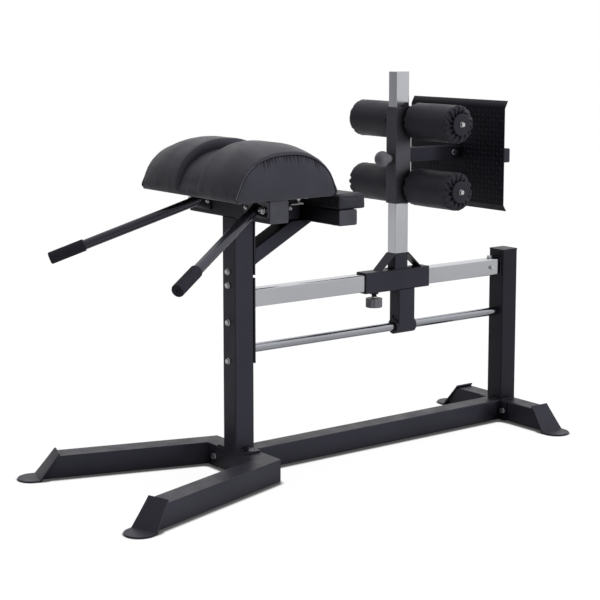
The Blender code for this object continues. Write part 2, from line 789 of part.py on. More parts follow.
def make_knee_pad():
    """The small cushion on the rear beam, with rolled edges and a slight crown."""
    x = REAR_BEAM_X + KNEE_PAD_D / 2
    middle_z = KNEE_PAD_BOTTOM + KNEE_PAD_H / 2

    def build(made):
        bmesh.ops.create_cube(made, size=1)
        bmesh.ops.scale(made, vec=(KNEE_PAD_D, 2 * REAR_BEAM_HALF, KNEE_PAD_H), verts=made.verts)
        bmesh.ops.bevel(
            made, geom=made.edges[:], offset=KNEE_PAD_R, segments=3, profile=0.5, affect="EDGES",
        )
        long_edges = [e for e in made.edges if abs(e.verts[0].co.y - e.verts[1].co.y) > REAR_BEAM_HALF]
        bmesh.ops.subdivide_edges(made, edges=long_edges, cuts=5, use_grid_fill=True)
        for vertex in made.verts:
            fall_x = 1 - (2 * vertex.co.x / KNEE_PAD_D) ** 2
            fall_y = 1 - (vertex.co.y / REAR_BEAM_HALF) ** 4
            if vertex.co.z > 0:
                vertex.co.z += KNEE_PAD_CROWN * (max(fall_x, 0) * max(fall_y, 0) - 1)

    pad = mesh_object("knee_pad", build, Matrix.Translation((x, 0, middle_z)))
    finish(pad, VINYL)
    floor = bar(
        "knee_pad_floor", 0.3, 0.8, 0, (x, 0, KNEE_PAD_BOTTOM - 0.05), (x, 0, KNEE_PAD_BOTTOM),
        ALONG,
    )
    cut(pad, floor)
    make_board(
        "knee_pad_board", pad, x, KNEE_PAD_BOTTOM, KNEE_PAD_D / 2 - KNEE_BOARD_INSET,
        REAR_BEAM_HALF - KNEE_BOARD_INSET,
    )


def make_handle(word, side):
    """A handle tube welded to its plate on the seat beam, with a rubber grip over its end."""
    plate_x = -GAP - PLATE_T / 2
    plate_y = side * (HANDLE_PLATE_IN + HANDLE_PLATE_OUT) / 2
    plate_w = HANDLE_PLATE_OUT - HANDLE_PLATE_IN
    plate_start = (plate_x - PLATE_T / 2, plate_y, HANDLE_Z)
    plate_end = (plate_x + PLATE_T / 2, plate_y, HANDLE_Z)
    plate = bar("handle_" + word, plate_w, HANDLE_PLATE_H, 0.004, plate_start, plate_end, ACROSS)
    finish(plate, BLACK_PAINT)
    root = Vector((-GAP - PLATE_T, side * HANDLE_Y, HANDLE_Z))
    tip = Vector((HANDLE_TIP.x, side * HANDLE_TIP.y, HANDLE_TIP.z))
    way = (tip - root).normalized()
    tube = rod("handle_tube_" + word, HANDLE_D, root - way * 0.04, tip - way * GRIP_END_T, 24)
    trim_start = (-GAP - PLATE_T + WELD, root.y, root.z)
    trim = bar("handle_trim_" + word, 0.3, 0.3, 0, trim_start, (0.1, root.y, root.z), ACROSS)
    cut(tube, trim)
    weld(plate, tube)
    bore_start = root + way * 0.03
    hole(plate, HANDLE_D - 2 * HANDLE_WALL, bore_start, tip + way * 0.01, 20)

    inner = HANDLE_D / 2 + GAP
    outer = GRIP_D / 2
    length = GRIP_LENGTH
    end = GRIP_END_T - GAP
    profile = [
        (GRIP_HOLE_D / 2, length),
        (outer - 0.005, length),
        (outer - 0.0015, length - 0.0015),
        (outer, length - 0.005),
        (outer, 0.003),
        (outer - 0.002, 0),
        (inner, 0),
        (inner, length - end),
        (GRIP_HOLE_D / 2, length - end),
    ]
    matrix = axes(tip - way * length, UP, way)
    finish(turned("grip_" + word, profile, matrix, 24), RUBBER)


def make_rail():
    """The plate behind the front post, the chrome rail and the round bar below it."""
    plate_x = FRAME_W + GAP + PLATE_T / 2
    plate = bar(
        "rail_mount_plate", PLATE_T, MOUNT_PLATE_W, 0.002, (plate_x, 0, RAIL_PLATE_BOTTOM),
        (plate_x, 0, RAIL_PLATE_TOP), ALONG,
    )
    finish(plate, BLACK_PAINT)
    start = (PLATE_BACK + GAP, 0, RAIL_Z)
    end = (RAIL_END_X, 0, RAIL_Z)
    rail = hollow_bar("rail", CHROME, RAIL_W, RAIL_H, RAIL_WALL, start, end, ACROSS)
    bar_start = (PLATE_BACK + GAP, 0, BAR_Z)
    bar_end = (REAR_FACE_X - GAP, 0, BAR_Z)
    guide = finish(rod("guide_bar", BAR_D, bar_start, bar_end), CHROME)
    hole(guide, BAR_D - 2 * BAR_WALL, (PLATE_BACK - WELD, 0, BAR_Z), (REAR_FACE_X + WELD, 0, BAR_Z), 24)

    bracket_z = RAIL_Z
    bracket = bar(
        "rail_end_bracket",
        RAIL_W + 0.016,
        END_PLATE_H,
        0.003,
        (END_PLATE_X, 0, bracket_z),
        (END_PLATE_X + END_PLATE_T, 0, bracket_z),
        ACROSS,
    )
    finish(bracket, BLACK_PAINT)
    stub_w = RAIL_W - 2 * RAIL_WALL - 2 * SLIDE_GAP
    stub_h = RAIL_H - 2 * RAIL_WALL - 2 * SLIDE_GAP
    stub_start = (END_PLATE_X - END_STUB, 0, RAIL_Z)
    stub = bar("rail_stub", stub_w, stub_h, 0.003, stub_start, (END_PLATE_X + WELD, 0, RAIL_Z), ACROSS)
    weld(bracket, stub)

    side_seat = (RAIL_BOLT_X, -RAIL_W / 2, RAIL_Z)
    top_seat = (RAIL_TOP_BOLT_X, RAIL_TOP_BOLT_Y, RAIL_Z + RAIL_H / 2)
    for piece, reach in ((rail, RAIL_WALL + WELD), (bracket, 0.018)):
        bolt_hole(piece, side_seat, -ACROSS, reach)
        bolt_hole(piece, top_seat, UP, reach)
    bolt("rail_side_bolt", side_seat, -ACROSS, 0.016)
    bolt("rail_top_bolt", top_seat, UP, 0.016)


def make_liner(name, outer_w, outer_h, inner_w, inner_h, start, end, x_dir):
    """A plastic liner that fills a sleeve's end round the tube that slides in it."""
    liner = bar(name, outer_w, outer_h, 0.003, start, end, x_dir)
    finish(liner, NYLON)
    way = (Vector(end) - Vector(start)).normalized() * 0.01
    bore = bar(name + "_bore", inner_w, inner_h, FRAME_R, Vector(start) - way, Vector(end) + way, x_dir)
    cut(liner, bore)
    return liner


def make_carriage():
    """The sleeve on the rail, its liners, the socket of the upright and the arm down to the bar."""
    front_x = CARRIAGE_X - CARRIAGE_LENGTH / 2
    back_x = CARRIAGE_X + CARRIAGE_LENGTH / 2
    start = (front_x, 0, RAIL_Z)
    end = (back_x, 0, RAIL_Z)
    sleeve = hollow_bar(
        "carriage_sleeve", BLACK_PAINT, SLEEVE_W, SLEEVE_H, SLEEVE_WALL, start, end, ACROSS,
    )
    boss_low = (CLAMP_X, 0, SLEEVE_BOTTOM - CLAMP_BOSS_H)
    weld(sleeve, rod("clamp_boss", CLAMP_BOSS_D, boss_low, (CLAMP_X, 0, SLEEVE_BOTTOM + WELD), 24))
    hole(
        sleeve, SCREW_D + 2 * SLIDE_GAP, (CLAMP_X, 0, SLEEVE_BOTTOM - 0.02),
        (CLAMP_X, 0, RAIL_BOTTOM - GAP),
    )

    outer_w = SLEEVE_W - 2 * SLEEVE_WALL - 2 * GAP
    outer_h = SLEEVE_H - 2 * SLEEVE_WALL - 2 * GAP
    inner_w = RAIL_W + 2 * SLIDE_GAP
    inner_h = RAIL_H + 2 * SLIDE_GAP
    for word, x in (("front", front_x), ("rear", back_x - LINER_LENGTH)):
        liner_end = (x + LINER_LENGTH, 0, RAIL_Z)
        make_liner(
            "carriage_liner_" + word, outer_w, outer_h, inner_w, inner_h, (x, 0, RAIL_Z), liner_end,
            ACROSS,
        )

    foot = SLEEVE_TOP + GAP
    socket = bar(
        "upright_socket", RAIL_H, RAIL_W, FRAME_R, (UPRIGHT_X, 0, foot), (UPRIGHT_X, 0, SOCKET_TOP),
        ALONG,
    )
    finish(socket, BLACK_PAINT)
    spigot_w = RAIL_H - 2 * RAIL_WALL - 2 * GAP
    spigot_d = RAIL_W - 2 * RAIL_WALL - 2 * GAP
    spigot_top = (UPRIGHT_X, 0, SOCKET_TOP + SPIGOT_H)
    weld(
        socket,
        bar(
            "upright_spigot", spigot_w, spigot_d, 0.003, (UPRIGHT_X, 0, foot + WELD), spigot_top,
            ALONG,
        ),
    )
    lean = GUSSET_T * math.sqrt(1 + (GUSSET_RUN / SOCKET_H) ** 2)
    for side in (-1, 1):
        wall_x = UPRIGHT_X + side * (RAIL_H / 2 - WELD)
        toe_x = wall_x + side * GUSSET_RUN
        plate = [
            (wall_x, SOCKET_TOP - lean),
            (wall_x, SOCKET_TOP),
            (wall_x + side * 0.004, SOCKET_TOP),
            (toe_x + side * 0.004, foot),
            (toe_x + side * 0.004 - side * lean, foot),
        ]
        matrix = axes((0, 0, 0), ALONG, -ACROSS)
        weld(socket, outline_solid("gusset", plate, RAIL_W, matrix))

    ring_start = (RING_X - RING_LENGTH / 2, 0, BAR_Z)
    ring_end = (RING_X + RING_LENGTH / 2, 0, BAR_Z)
    ring_bore = RING_R - RING_WALL
    drop_top = (DROP_X, 0, SLEEVE_BOTTOM - GAP)
    drop = bar("drop_arm", DROP_L, SLEEVE_W, FRAME_R, (DROP_X, 0, BAR_Z), drop_top, ALONG)
    finish(drop, BLACK_PAINT)
    weld(drop, rod("drop_ring", 2 * RING_R, ring_start, ring_end))
    core_low = (DROP_X, 0, BAR_Z + RING_R + SLEEVE_WALL)
    core_high = (DROP_X, 0, SLEEVE_BOTTOM + WELD)
    core_w = DROP_L - 2 * SLEEVE_WALL
    cut(drop, bar("drop_core", core_w, SLEEVE_W - 2 * SLEEVE_WALL, 0.002, core_low, core_high, ALONG))
    beyond = ALONG * 0.01
    hole(drop, 2 * ring_bore, Vector(ring_start) - beyond, Vector(ring_end) + beyond, 28)

    inset = ALONG * 0.002
    bush_start = Vector(ring_start) + inset
    bush_end = Vector(ring_end) - inset
    bush = finish(rod("bar_bushing", 2 * ring_bore - 2 * GAP, bush_start, bush_end), NYLON)
    hole(bush, BAR_D + 2 * SLIDE_GAP, bush_start - beyond, bush_end + beyond, 28)


def make_upright():
    """The chrome upright, closed at its top, that stands on the socket's spigot."""
    start = (UPRIGHT_X, 0, SOCKET_TOP + GAP)
    end = (UPRIGHT_X, 0, UPRIGHT_TOP)
    return hollow_bar("upright", CHROME, RAIL_H, RAIL_W, RAIL_WALL, start, end, ALONG, (False, True))


def make_clamp_knob():
    """The lobed knob below the sleeve, whose screw ends just under the rail."""
    neck_z = SLEEVE_BOTTOM - CLAMP_BOSS_H - CLAMP_REACH
    steps = KNOB_LOBES * 4
    rim = []
    for step in range(steps):
        turn = 2 * math.pi * step / steps
        radius = KNOB_R - KNOB_LOBE_DEPTH * (1 - abs(math.cos(turn * KNOB_LOBES / 2)))
        rim.append((radius * math.cos(turn), radius * math.sin(turn)))
    matrix = Matrix.Translation((CLAMP_X, 0, neck_z - KNOB_H / 2))
    knob = finish(outline_solid("clamp_knob", rim, KNOB_H, matrix), PLASTIC)
    bevel = knob.modifiers.new("rolled rims", "BEVEL")
    bevel.width = 0.003
    bevel.segments = 1
    bevel.limit_method = "ANGLE"
    bevel.angle_limit = math.radians(60)
    hub = 0.011
    profile = [
        (0, RAIL_BOTTOM - GAP - neck_z),
        (SCREW_D / 2, RAIL_BOTTOM - GAP - neck_z),
        (SCREW_D / 2, 0.006),
        (hub, 0.003),
        (hub, -KNOB_H / 2),
        (0, -KNOB_H / 2),
    ]
    weld(knob, turned("clamp_screw", profile, Matrix.Translation((CLAMP_X, 0, neck_z)), 24))


def make_ball_knob():
    """The round knob in front of the ankle sleeve, whose screw ends at the upright."""
    face_x = ANKLE_FRONT - CLAMP_BOSS_H
    tip = UPRIGHT_X - RAIL_H / 2 - GAP - face_x
    back = -0.002
    dome = []
    waist = back - 0.022
    for step in range(7):
        turn = math.pi / 2 * step / 6
        dome.append((BALL_R * math.cos(turn), waist - 0.008 - (BALL_LENGTH - 0.032) * math.sin(turn)))
    dome[-1] = (0, dome[-1][1])
    profile = [
        (0, tip),
        (SCREW_D / 2, tip),
        (SCREW_D / 2, back),
        (BALL_NECK_R, back),
        (BALL_NECK_R, back - 0.012),
        (BALL_R - 0.006, waist + 0.005),
        (BALL_R - 0.001, waist),
    ] + dome
    matrix = axes((face_x, 0, BALL_Z), ACROSS, ALONG)
    finish(turned("ball_knob", profile, matrix, 24), PLASTIC)


def make_ankle_holder():
    """The sleeve on the upright with both roller shafts, its liners and the arm behind it."""
    start = (UPRIGHT_X, 0, ANKLE_BOTTOM)
    end = (UPRIGHT_X, 0, ANKLE_TOP)
    sleeve = hollow_bar("ankle_sleeve", BLACK_PAINT, ANKLE_L, SLEEVE_W, SLEEVE_WALL, start, end, ALONG)
    shaft_end = ROLLER_OUT + GAP
    for level in (LOWER_Z, UPPER_Z):
        shaft_start = (SHAFT_X, -shaft_end, level)
        weld(sleeve, rod("roller_shaft", SHAFT_D, shaft_start, (SHAFT_X, shaft_end, level), 24))
        for side in (-1, 1):
            mouth = (SHAFT_X, side * (shaft_end + 0.01), level)
            hole(sleeve, BOLT_D + 2 * SLIDE_GAP, mouth, (SHAFT_X, side * (shaft_end - 0.032), level))
    boss_start = (ANKLE_FRONT - CLAMP_BOSS_H, 0, BALL_Z)
    weld(sleeve, rod("ball_boss", CLAMP_BOSS_D, boss_start, (ANKLE_FRONT + WELD, 0, BALL_Z), 24))
    screw_start = (boss_start[0] - 0.01, 0, BALL_Z)
    hole(sleeve, SCREW_D + 2 * SLIDE_GAP, screw_start, (UPRIGHT_X - RAIL_H / 2 - GAP, 0, BALL_Z))

    outer_w = ANKLE_L - 2 * SLEEVE_WALL - 2 * GAP
    outer_h = SLEEVE_W - 2 * SLEEVE_WALL - 2 * GAP
    inner_w = RAIL_H + 2 * SLIDE_GAP
    inner_h = RAIL_W + 2 * SLIDE_GAP
    for word, z in (("lower", ANKLE_BOTTOM), ("upper", ANKLE_TOP - LINER_LENGTH)):
        liner_end = (UPRIGHT_X, 0, z + LINER_LENGTH)
        make_liner(
            "ankle_liner_" + word, outer_w, outer_h, inner_w, inner_h, (UPRIGHT_X, 0, z), liner_end,
            ALONG,
        )


def make_roller(name, level, side):
    """A foam roller round its shaft. Its skin is gathered in pleats round both ends."""
    length = ROLLER_OUT - ROLLER_IN
    bore = SHAFT_D / 2 + SLIDE_GAP
    edge = ROLLER_EDGE_R
    half = length / 2
    rim = []
    for step in range(4):
        turn = math.pi / 2 * step / 3
        rim.append((ROLLER_R - edge + edge * math.sin(turn), half - edge + edge * math.cos(turn)))
    inner_end = [(bore, half - 0.001), (ROLLER_CAP_R - 0.004, half - 0.001)]
    top = inner_end + rim
    profile = top + [(radius, -height) for radius, height in reversed(top)]
    steps = ROLLER_PLEATS * 2
    matrix = axes((SHAFT_X, side * (ROLLER_IN + half), level), ALONG, ACROSS)
    roller = turned(name, profile, matrix, steps)
    for vertex in roller.data.vertices:
        radius = math.hypot(vertex.co.x, vertex.co.y)
        turn = math.atan2(vertex.co.y, vertex.co.x)
        share = smooth((radius - ROLLER_CAP_R + 0.006) / 0.008) * smooth((ROLLER_R - radius) / 0.006)
        wave = 0.5 - 0.5 * math.cos(turn * ROLLER_PLEATS)
        if abs(vertex.co.z) > half - edge - 0.001:
            vertex.co.z -= math.copysign(PLEAT_DEPTH * share * wave, vertex.co.z)
    finish(roller, VINYL)

    cap_matrix = axes((SHAFT_X, side * (ROLLER_OUT + 2 * GAP), level), ALONG, ACROSS * side)
    head_r = BOLT_AF / 2
    cap_profile = [
        (0, ROLLER_CAP_T + BOLT_HEAD),
        (head_r - 0.002, ROLLER_CAP_T + BOLT_HEAD),
        (head_r, ROLLER_CAP_T + BOLT_HEAD - 0.003),
        (head_r, ROLLER_CAP_T),
        (ROLLER_CAP_R - 0.003, ROLLER_CAP_T),
        (ROLLER_CAP_R, ROLLER_CAP_T - 0.002),
        (ROLLER_CAP_R, 0),
        (BOLT_D / 2, 0),
        (BOLT_D / 2, -0.030),
        (0, -0.030),
    ]
    cap = turned(name.replace("roller", "roller_cap"), cap_profile, cap_matrix, 24)
    finish(cap, PLASTIC)
    return roller


def make_foot_plate():
    """The tread plate with its lips, the bar behind it and the stem that goes into the arm."""
    arm_start = (ANKLE_BACK + GAP, 0, ARM_Z)
    arm = hollow_bar(
        "foot_plate_arm", BLACK_PAINT, ARM_W, ARM_W, ARM_WALL, arm_start, (ARM_END_X, 0, ARM_Z),
        ACROSS,
    )
    front = FOOT_PLATE_X
    back = FOOT_PLATE_X + FOOT_PLATE_T
    lip = LIP_RUN
    side_view = [
        (front, FOOT_PLATE_LOW),
        (front, FOOT_PLATE_HIGH),
        (front + lip, FOOT_PLATE_HIGH + LIP_TOP_H),
        (back + lip, FOOT_PLATE_HIGH + LIP_TOP_H),
        (back, FOOT_PLATE_HIGH - 0.001),
        (back, FOOT_PLATE_LOW + 0.001),
        (back + lip, FOOT_PLATE_LOW - LIP_BOTTOM_H),
        (front + lip, FOOT_PLATE_LOW - LIP_BOTTOM_H),
    ]
    matrix = axes((0, 0, 0), ALONG, -ACROSS)
    plate = finish(outline_solid("foot_plate", side_view, 2 * FOOT_PLATE_HALF, matrix), BLACK_PAINT)
    stem_start = (STEM_START_X, 0, ARM_Z)
    weld(
        plate,
        bar("foot_plate_stem", STEM_W, STEM_W, 0.003, stem_start, (front + WELD, 0, ARM_Z), ACROSS),
    )
    seat = (ARM_BOLT_X, -ARM_W / 2, ARM_Z)
    bolt_hole(arm, seat, -ACROSS, ARM_WALL + WELD)
    bolt_hole(plate, seat, -ACROSS, 0.026)
    bolt("arm_bolt", seat, -ACROSS, 0.024)
    bar_x = back + GAP + BACK_BAR_D / 2
    bar_start = (bar_x, -BACK_BAR_HALF, ARM_Z)
    bar_end = (bar_x, BACK_BAR_HALF, ARM_Z)
    hollow_bar(
        "foot_plate_bar", BLACK_PAINT, BACK_BAR_D, BACK_BAR_H, ARM_WALL, bar_start, bar_end, ALONG,
        (True, True),
    )


def adopt(name, place, names):
    """An empty at place on a joint's axis, which carries the named objects where they stand."""
    empty = bpy.data.objects.new(name, None)
    empty.location = place
    empty.empty_display_size = 0.1
    PARTS.objects.link(empty)
    bpy.context.view_layer.update()
    for child_name in names:
        child = bpy.data.objects[child_name]
        child.parent = empty
        child.matrix_parent_inverse = empty.matrix_world.inverted()
    return empty


def centre_machine():
    """Moves everything so that the machine's box is centred on the origin along X."""
    graph = bpy.context.evaluated_depsgraph_get()
    low = math.inf
    high = -math.inf
    for obj in PARTS.objects:
        if obj.type != "MESH":
            continue
        for corner in obj.evaluated_get(graph).bound_box:
            x = (obj.matrix_world @ Vector(corner)).x
            low = min(low, x)
            high = max(high, x)
    machine = bpy.data.objects.new("machine", None)
    PARTS.objects.link(machine)
    for obj in list(PARTS.objects) + list(CUTTERS.objects):
        if obj.parent is None and obj is not machine:
            obj.parent = machine
    machine.location.x = -(low + high) / 2
    print("machine moved along X by", round(machine.location.x, 6))


make_centre_block()
make_leg("front_leg_right", -1)
make_leg("front_leg_left", 1)
make_base_tube()
make_rear_crossmember()
make_front_post()
make_rear_post()
make_seat_frame()
make_hip_pad()
make_knee_pad()
make_handle("right", -1)
make_handle("left", 1)
make_rail()
make_carriage()
make_upright()
make_clamp_knob()
make_ball_knob()
make_ankle_holder()
for level_word, roller_z in (("upper", UPPER_Z), ("lower", LOWER_Z)):
    for side_word, roller_side in (("right", -1), ("left", 1)):
        make_roller("roller_" + level_word + "_" + side_word, roller_z, roller_side)
make_foot_plate()

ANKLE_NAMES = [
    obj.name
    for obj in PARTS.objects
    if obj.name.startswith(("ankle_", "roller_", "ball_knob", "foot_plate", "arm_bolt"))
]
CARRIAGE_NAMES = [
    "carriage_sleeve",
    "carriage_liner_front",
    "carriage_liner_rear",
    "upright_socket",
    "upright",
    "drop_arm",
    "bar_bushing",
    "clamp_knob",
]
adopt("ankle_slide", (UPRIGHT_X, 0, BALL_Z), ANKLE_NAMES)
adopt("carriage_slide", (CARRIAGE_X, 0, RAIL_Z), CARRIAGE_NAMES + ["ankle_slide"])
for part in PARTS.objects:
    if part.type == "MESH":
        part.data.shade_smooth()
        part.data.set_sharp_from_angle(angle=math.radians(35))
bpy.context.view_layer.update()
centre_machine()
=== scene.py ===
"""Looks of the glute and ham developer: materials, cushions, fasteners, welds, light and camera."""

import math
import random

import bmesh
import bpy
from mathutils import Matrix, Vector


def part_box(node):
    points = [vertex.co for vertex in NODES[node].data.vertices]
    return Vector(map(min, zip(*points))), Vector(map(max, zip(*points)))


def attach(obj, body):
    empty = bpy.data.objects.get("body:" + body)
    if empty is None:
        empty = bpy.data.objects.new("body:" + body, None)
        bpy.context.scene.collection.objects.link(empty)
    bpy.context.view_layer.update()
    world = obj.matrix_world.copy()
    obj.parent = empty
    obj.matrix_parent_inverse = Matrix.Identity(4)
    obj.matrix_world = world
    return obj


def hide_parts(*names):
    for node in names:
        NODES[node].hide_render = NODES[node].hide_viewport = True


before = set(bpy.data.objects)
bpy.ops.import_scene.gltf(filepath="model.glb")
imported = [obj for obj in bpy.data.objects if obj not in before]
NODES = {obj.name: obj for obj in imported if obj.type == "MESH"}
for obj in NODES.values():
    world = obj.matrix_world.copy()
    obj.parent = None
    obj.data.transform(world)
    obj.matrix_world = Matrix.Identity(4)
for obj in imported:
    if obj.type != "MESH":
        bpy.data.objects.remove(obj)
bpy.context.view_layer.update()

SIDES = ((-1, "right"), (1, "left"))

# All sizes are in metres. Lengths along X are from the front face of the front post.
POST_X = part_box("front_post")[0].x
TUBE_HALF = 0.0375
BOARD_PLAY = 0.0005
BEAD_STEP = 0.0016
# in degrees: an edge of a CAD node that bends by more than this stays sharp
SHARP_ANGLE = 32

# the hip cushion: its arch, the roll of its lower edge, its channel and its sewing
PAD_CENTRE_X = 0.037
PAD_HALF_CHORD = 0.201
PAD_HALF_W = 0.280
PAD_HEIGHT = 0.177
PAD_END_DROP = 0.026
PAD_CROWN_RUN = 0.125
PAD_TUCK = 0.015
PAD_TUCK_H = 0.034
PAD_FULLNESS = 2.25
PAD_SHOULDER = 0.006
CHANNEL_HALF = 0.056
CHANNEL_SIDE = 0.017
CHANNEL_DEPTH = 0.034
GATHER_PITCH = 0.0128
STITCH_PITCH = 0.0062
STITCH_LENGTH = 0.0042

# the knee cushion's swelling: its pressure, and the most that it may move the skin
PUFF_PRESSURE = 4.0
PUFF_LIMIT = 0.0025

# the rollers: pleats round each end, the radius of the end's edge and of the disc over the pleats
ROLLER_PLEATS = 15
ROLLER_EDGE = 0.020
DISC_RIM = 0.0335


# ---------------------------------------------------------------- materials


class Graph:
    """The nodes of a material or of the world, and the links between them."""

    def __init__(self, tree):
        self.tree = tree

    def add(self, kind, **settings):
        node = self.tree.nodes.new(kind)
        for key, value in settings.items():
            setattr(node, key, value)
        return node

    def link(self, source, target):
        self.tree.links.new(source, target)

    def mapped(self, value, low, high, to_low, to_high, **settings):
        node = self.add("ShaderNodeMapRange", **settings)
        for key, number in (("From Min", low), ("From Max", high), ("To Min", to_low), ("To Max", to_high)):
            node.inputs[key].default_value = number
        self.link(value, node.inputs["Value"])
        return node.outputs["Result"]

    def maths(self, operation, *values):
        """The result of an operation on two values, each a number or a socket."""
        node = self.add("ShaderNodeMath", operation=operation)
        for socket, value in zip(node.inputs, values):
            if isinstance(value, float):
                socket.default_value = value
            else:
                self.link(value, socket)
        return node.outputs["Value"]


class Surface(Graph):
    """A Principled material whose colour, roughness and relief come from noise in the piece's own space."""

    def __init__(self, name, colour, roughness, metallic=0.0, specular=0.5, cool=0.16):
        self.material = bpy.data.materials.new(name)
        self.material.use_nodes = True
        super().__init__(self.material.node_tree)
        self.shader = self.tree.nodes["Principled BSDF"]
        self.colour, self.roughness = colour, roughness
        self.shader.inputs["Metallic"].default_value = metallic
        self.shader.inputs["Specular IOR Level"].default_value = specular
        self.shader.inputs["Specular Tint"].default_value = (1 - cool, 1 - cool, 1.0, 1.0)
        self.place = self.add("ShaderNodeTexCoord").outputs["Object"]
        self.normal = self.tint = None

    def stretched(self, scale):
        node = self.add("ShaderNodeMapping")
        node.inputs["Scale"].default_value = scale
        self.link(self.place, node.inputs["Vector"])
        return node.outputs["Vector"]

    def noise(self, scale, detail=3.0, place=None):
        node = self.add("ShaderNodeTexNoise")
        for key, number in (("Scale", scale), ("Detail", detail), ("Roughness", 0.55)):
            node.inputs[key].default_value = number
        self.link(place or self.place, node.inputs["Vector"])
        return node.outputs["Fac"]

    def cells(self, scale):
        node = self.add("ShaderNodeTexVoronoi")
        node.inputs["Scale"].default_value = scale
        self.link(self.place, node.inputs["Vector"])
        return node.outputs["Distance"]

    def mixed(self, share, first, second):
        """A colour between two, each a tuple or a socket."""
        node = self.add("ShaderNodeMix", data_type="RGBA")
        self.link(share, node.inputs["Factor"])
        inputs = [s for s in node.inputs if s.type == "RGBA"]
        for socket, colour in zip(inputs, (first, second)):
            if isinstance(colour, tuple):
                socket.default_value = (*colour, 1.0)
            else:
                self.link(colour, socket)
        return [s for s in node.outputs if s.type == "RGBA"][0]

    def blotched(self, scale, spread):
        """Slow variation of the colour by this share on either side."""
        low = tuple(c * (1 - spread) for c in self.colour)
        high = tuple(c * (1 + spread) for c in self.colour)
        share = self.mapped(self.noise(scale), 0.3, 0.7, 0.0, 1.0)
        self.tint = self.mixed(share, low, high)
        return self

    def speckled(self, scale, colour, low, high):
        """Small spots of another colour where the noise is strong."""
        share = self.mapped(self.noise(scale, 5.0), low, high, 0.0, 1.0)
        self.tint = self.mixed(share, self.tint, colour)
        return self

    def edge_mask(self, radius):
        """How far the surface's corners are rounded off, as a number from 0 on a flat to 1 on an edge."""
        bevel = self.add("ShaderNodeBevel", samples=6)
        bevel.inputs["Radius"].default_value = radius
        geometry = self.add("ShaderNodeNewGeometry")
        dot = self.add("ShaderNodeVectorMath", operation="DOT_PRODUCT")
        self.link(bevel.outputs["Normal"], dot.inputs[0])
        self.link(geometry.outputs["Normal"], dot.inputs[1])
        return self.mapped(dot.outputs["Value"], 0.995, 0.90, 0.0, 1.0)

    def worn(self, radius, colour, amount):
        """A paler line where edges rub."""
        patch = self.mapped(self.noise(38.0, 4.0), 0.38, 0.62, 0.15, amount)
        share = self.maths("MULTIPLY", self.edge_mask(radius), patch)
        self.tint = self.mixed(share, self.tint, colour)
        return self

    def softened(self, radius):
        """Rounds the light on sharp edges."""
        bevel = self.add("ShaderNodeBevel", samples=4)
        bevel.inputs["Radius"].default_value = radius
        self.normal = bevel.outputs["Normal"]
        return self

    def relief(self, height, distance, strength=1.0):
        bump = self.add("ShaderNodeBump")
        bump.inputs["Distance"].default_value = distance
        bump.inputs["Strength"].default_value = strength
        self.link(height, bump.inputs["Height"])
        if self.normal is not None:
            self.link(self.normal, bump.inputs["Normal"])
        self.normal = bump.outputs["Normal"]
        return self

    def painted_nook_shade(self, distance, least, dull=1.0, open_at=0.92):
        """Painted shade from ambient occlusion: darker, and duller where dull is below 1, where the surface
        folds in on itself or other parts close over it.
        """
        nook = self.add("ShaderNodeAmbientOcclusion", samples=8)
        nook.inputs["Distance"].default_value = distance
        depth = self.mapped(nook.outputs["AO"], 0.40, open_at, 0.0, 1.0)
        self.tint = self.mixed(depth, tuple(c * least for c in self.colour), self.tint)
        if dull < 1.0:
            level = self.shader.inputs["Specular IOR Level"]
            self.link(self.mapped(depth, 0.0, 1.0, level.default_value * dull, level.default_value), level)
        return self

    def gloss(self, scale, spread, place=None):
        share = self.noise(scale, 4.0, place)
        value = self.mapped(share, 0.3, 0.7, self.roughness - spread, self.roughness + spread)
        self.link(value, self.shader.inputs["Roughness"])
        return self

    def done(self):
        if self.tint is not None:
            self.link(self.tint, self.shader.inputs["Base Color"])
        if self.normal is not None:
            self.link(self.normal, self.shader.inputs["Normal"])
        return self.material


def frame_paint(name, colour, crease=(0.070, 0.15), roughness=0.40, specular=0.18):
    """Charcoal powder coat with its fine orange peel and painted shade in its nooks."""
    s = Surface(name, colour, roughness, specular=specular)
    # crease sets painted shade: the coat darkens where ambient occlusion finds other parts close by
    s.blotched(5.0, 0.12).painted_nook_shade(*crease).worn(0.0013, (0.065, 0.065, 0.078), 0.6).softened(0.0008)
    s.relief(s.noise(420.0, 2.0), 0.00018, 0.55).relief(s.noise(60.0, 2.0), 0.0003, 0.25)
    return s.gloss(14.0, 0.07).done()


def plate_paint():
    """Near-black coat on the foot plate, rubbed a little on its raised marks, with a painted highlight on
    faces that look upward.
    """
    s = Surface("foot_plate_coat", (0.0042, 0.0036, 0.0062), 0.45, specular=0.16)
    s.blotched(9.0, 0.25)
    # painted highlight: faces turned upward are mixed towards a paler grey
    parts = s.add("ShaderNodeSeparateXYZ")
    s.link(s.add("ShaderNodeTexCoord").outputs["Normal"], parts.inputs["Vector"])
    s.tint = s.mixed(s.mapped(parts.outputs["Z"], 0.15, 0.40, 0.0, 1.0), s.tint, (0.040, 0.0395, 0.049))
    s.worn(0.0008, (0.024, 0.024, 0.029), 0.45).softened(0.0006)
    s.relief(s.noise(300.0, 3.0), 0.0003, 0.6)
    return s.gloss(22.0, 0.10).done()


def weld_paint():
    s = Surface("painted_weld", (0.0125, 0.0122, 0.0175), 0.46, specular=0.22)
    s.blotched(40.0, 0.2).relief(s.noise(500.0, 3.0), 0.0003, 0.7)
    return s.gloss(40.0, 0.08).done()


def chrome(name, stretch, shade=0.51):
    """Bright plating with the faint lines that polishing leaves along the tube."""
    s = Surface(name, (shade, shade + 0.01, shade + 0.04), 0.16, metallic=1.0, cool=0.0)
    along = s.stretched(stretch)
    s.blotched(3.0, 0.05).softened(0.0012)
    s.relief(s.noise(160.0, 3.0, along), 0.00006, 0.35)
    return s.gloss(90.0, 0.045, along).done()


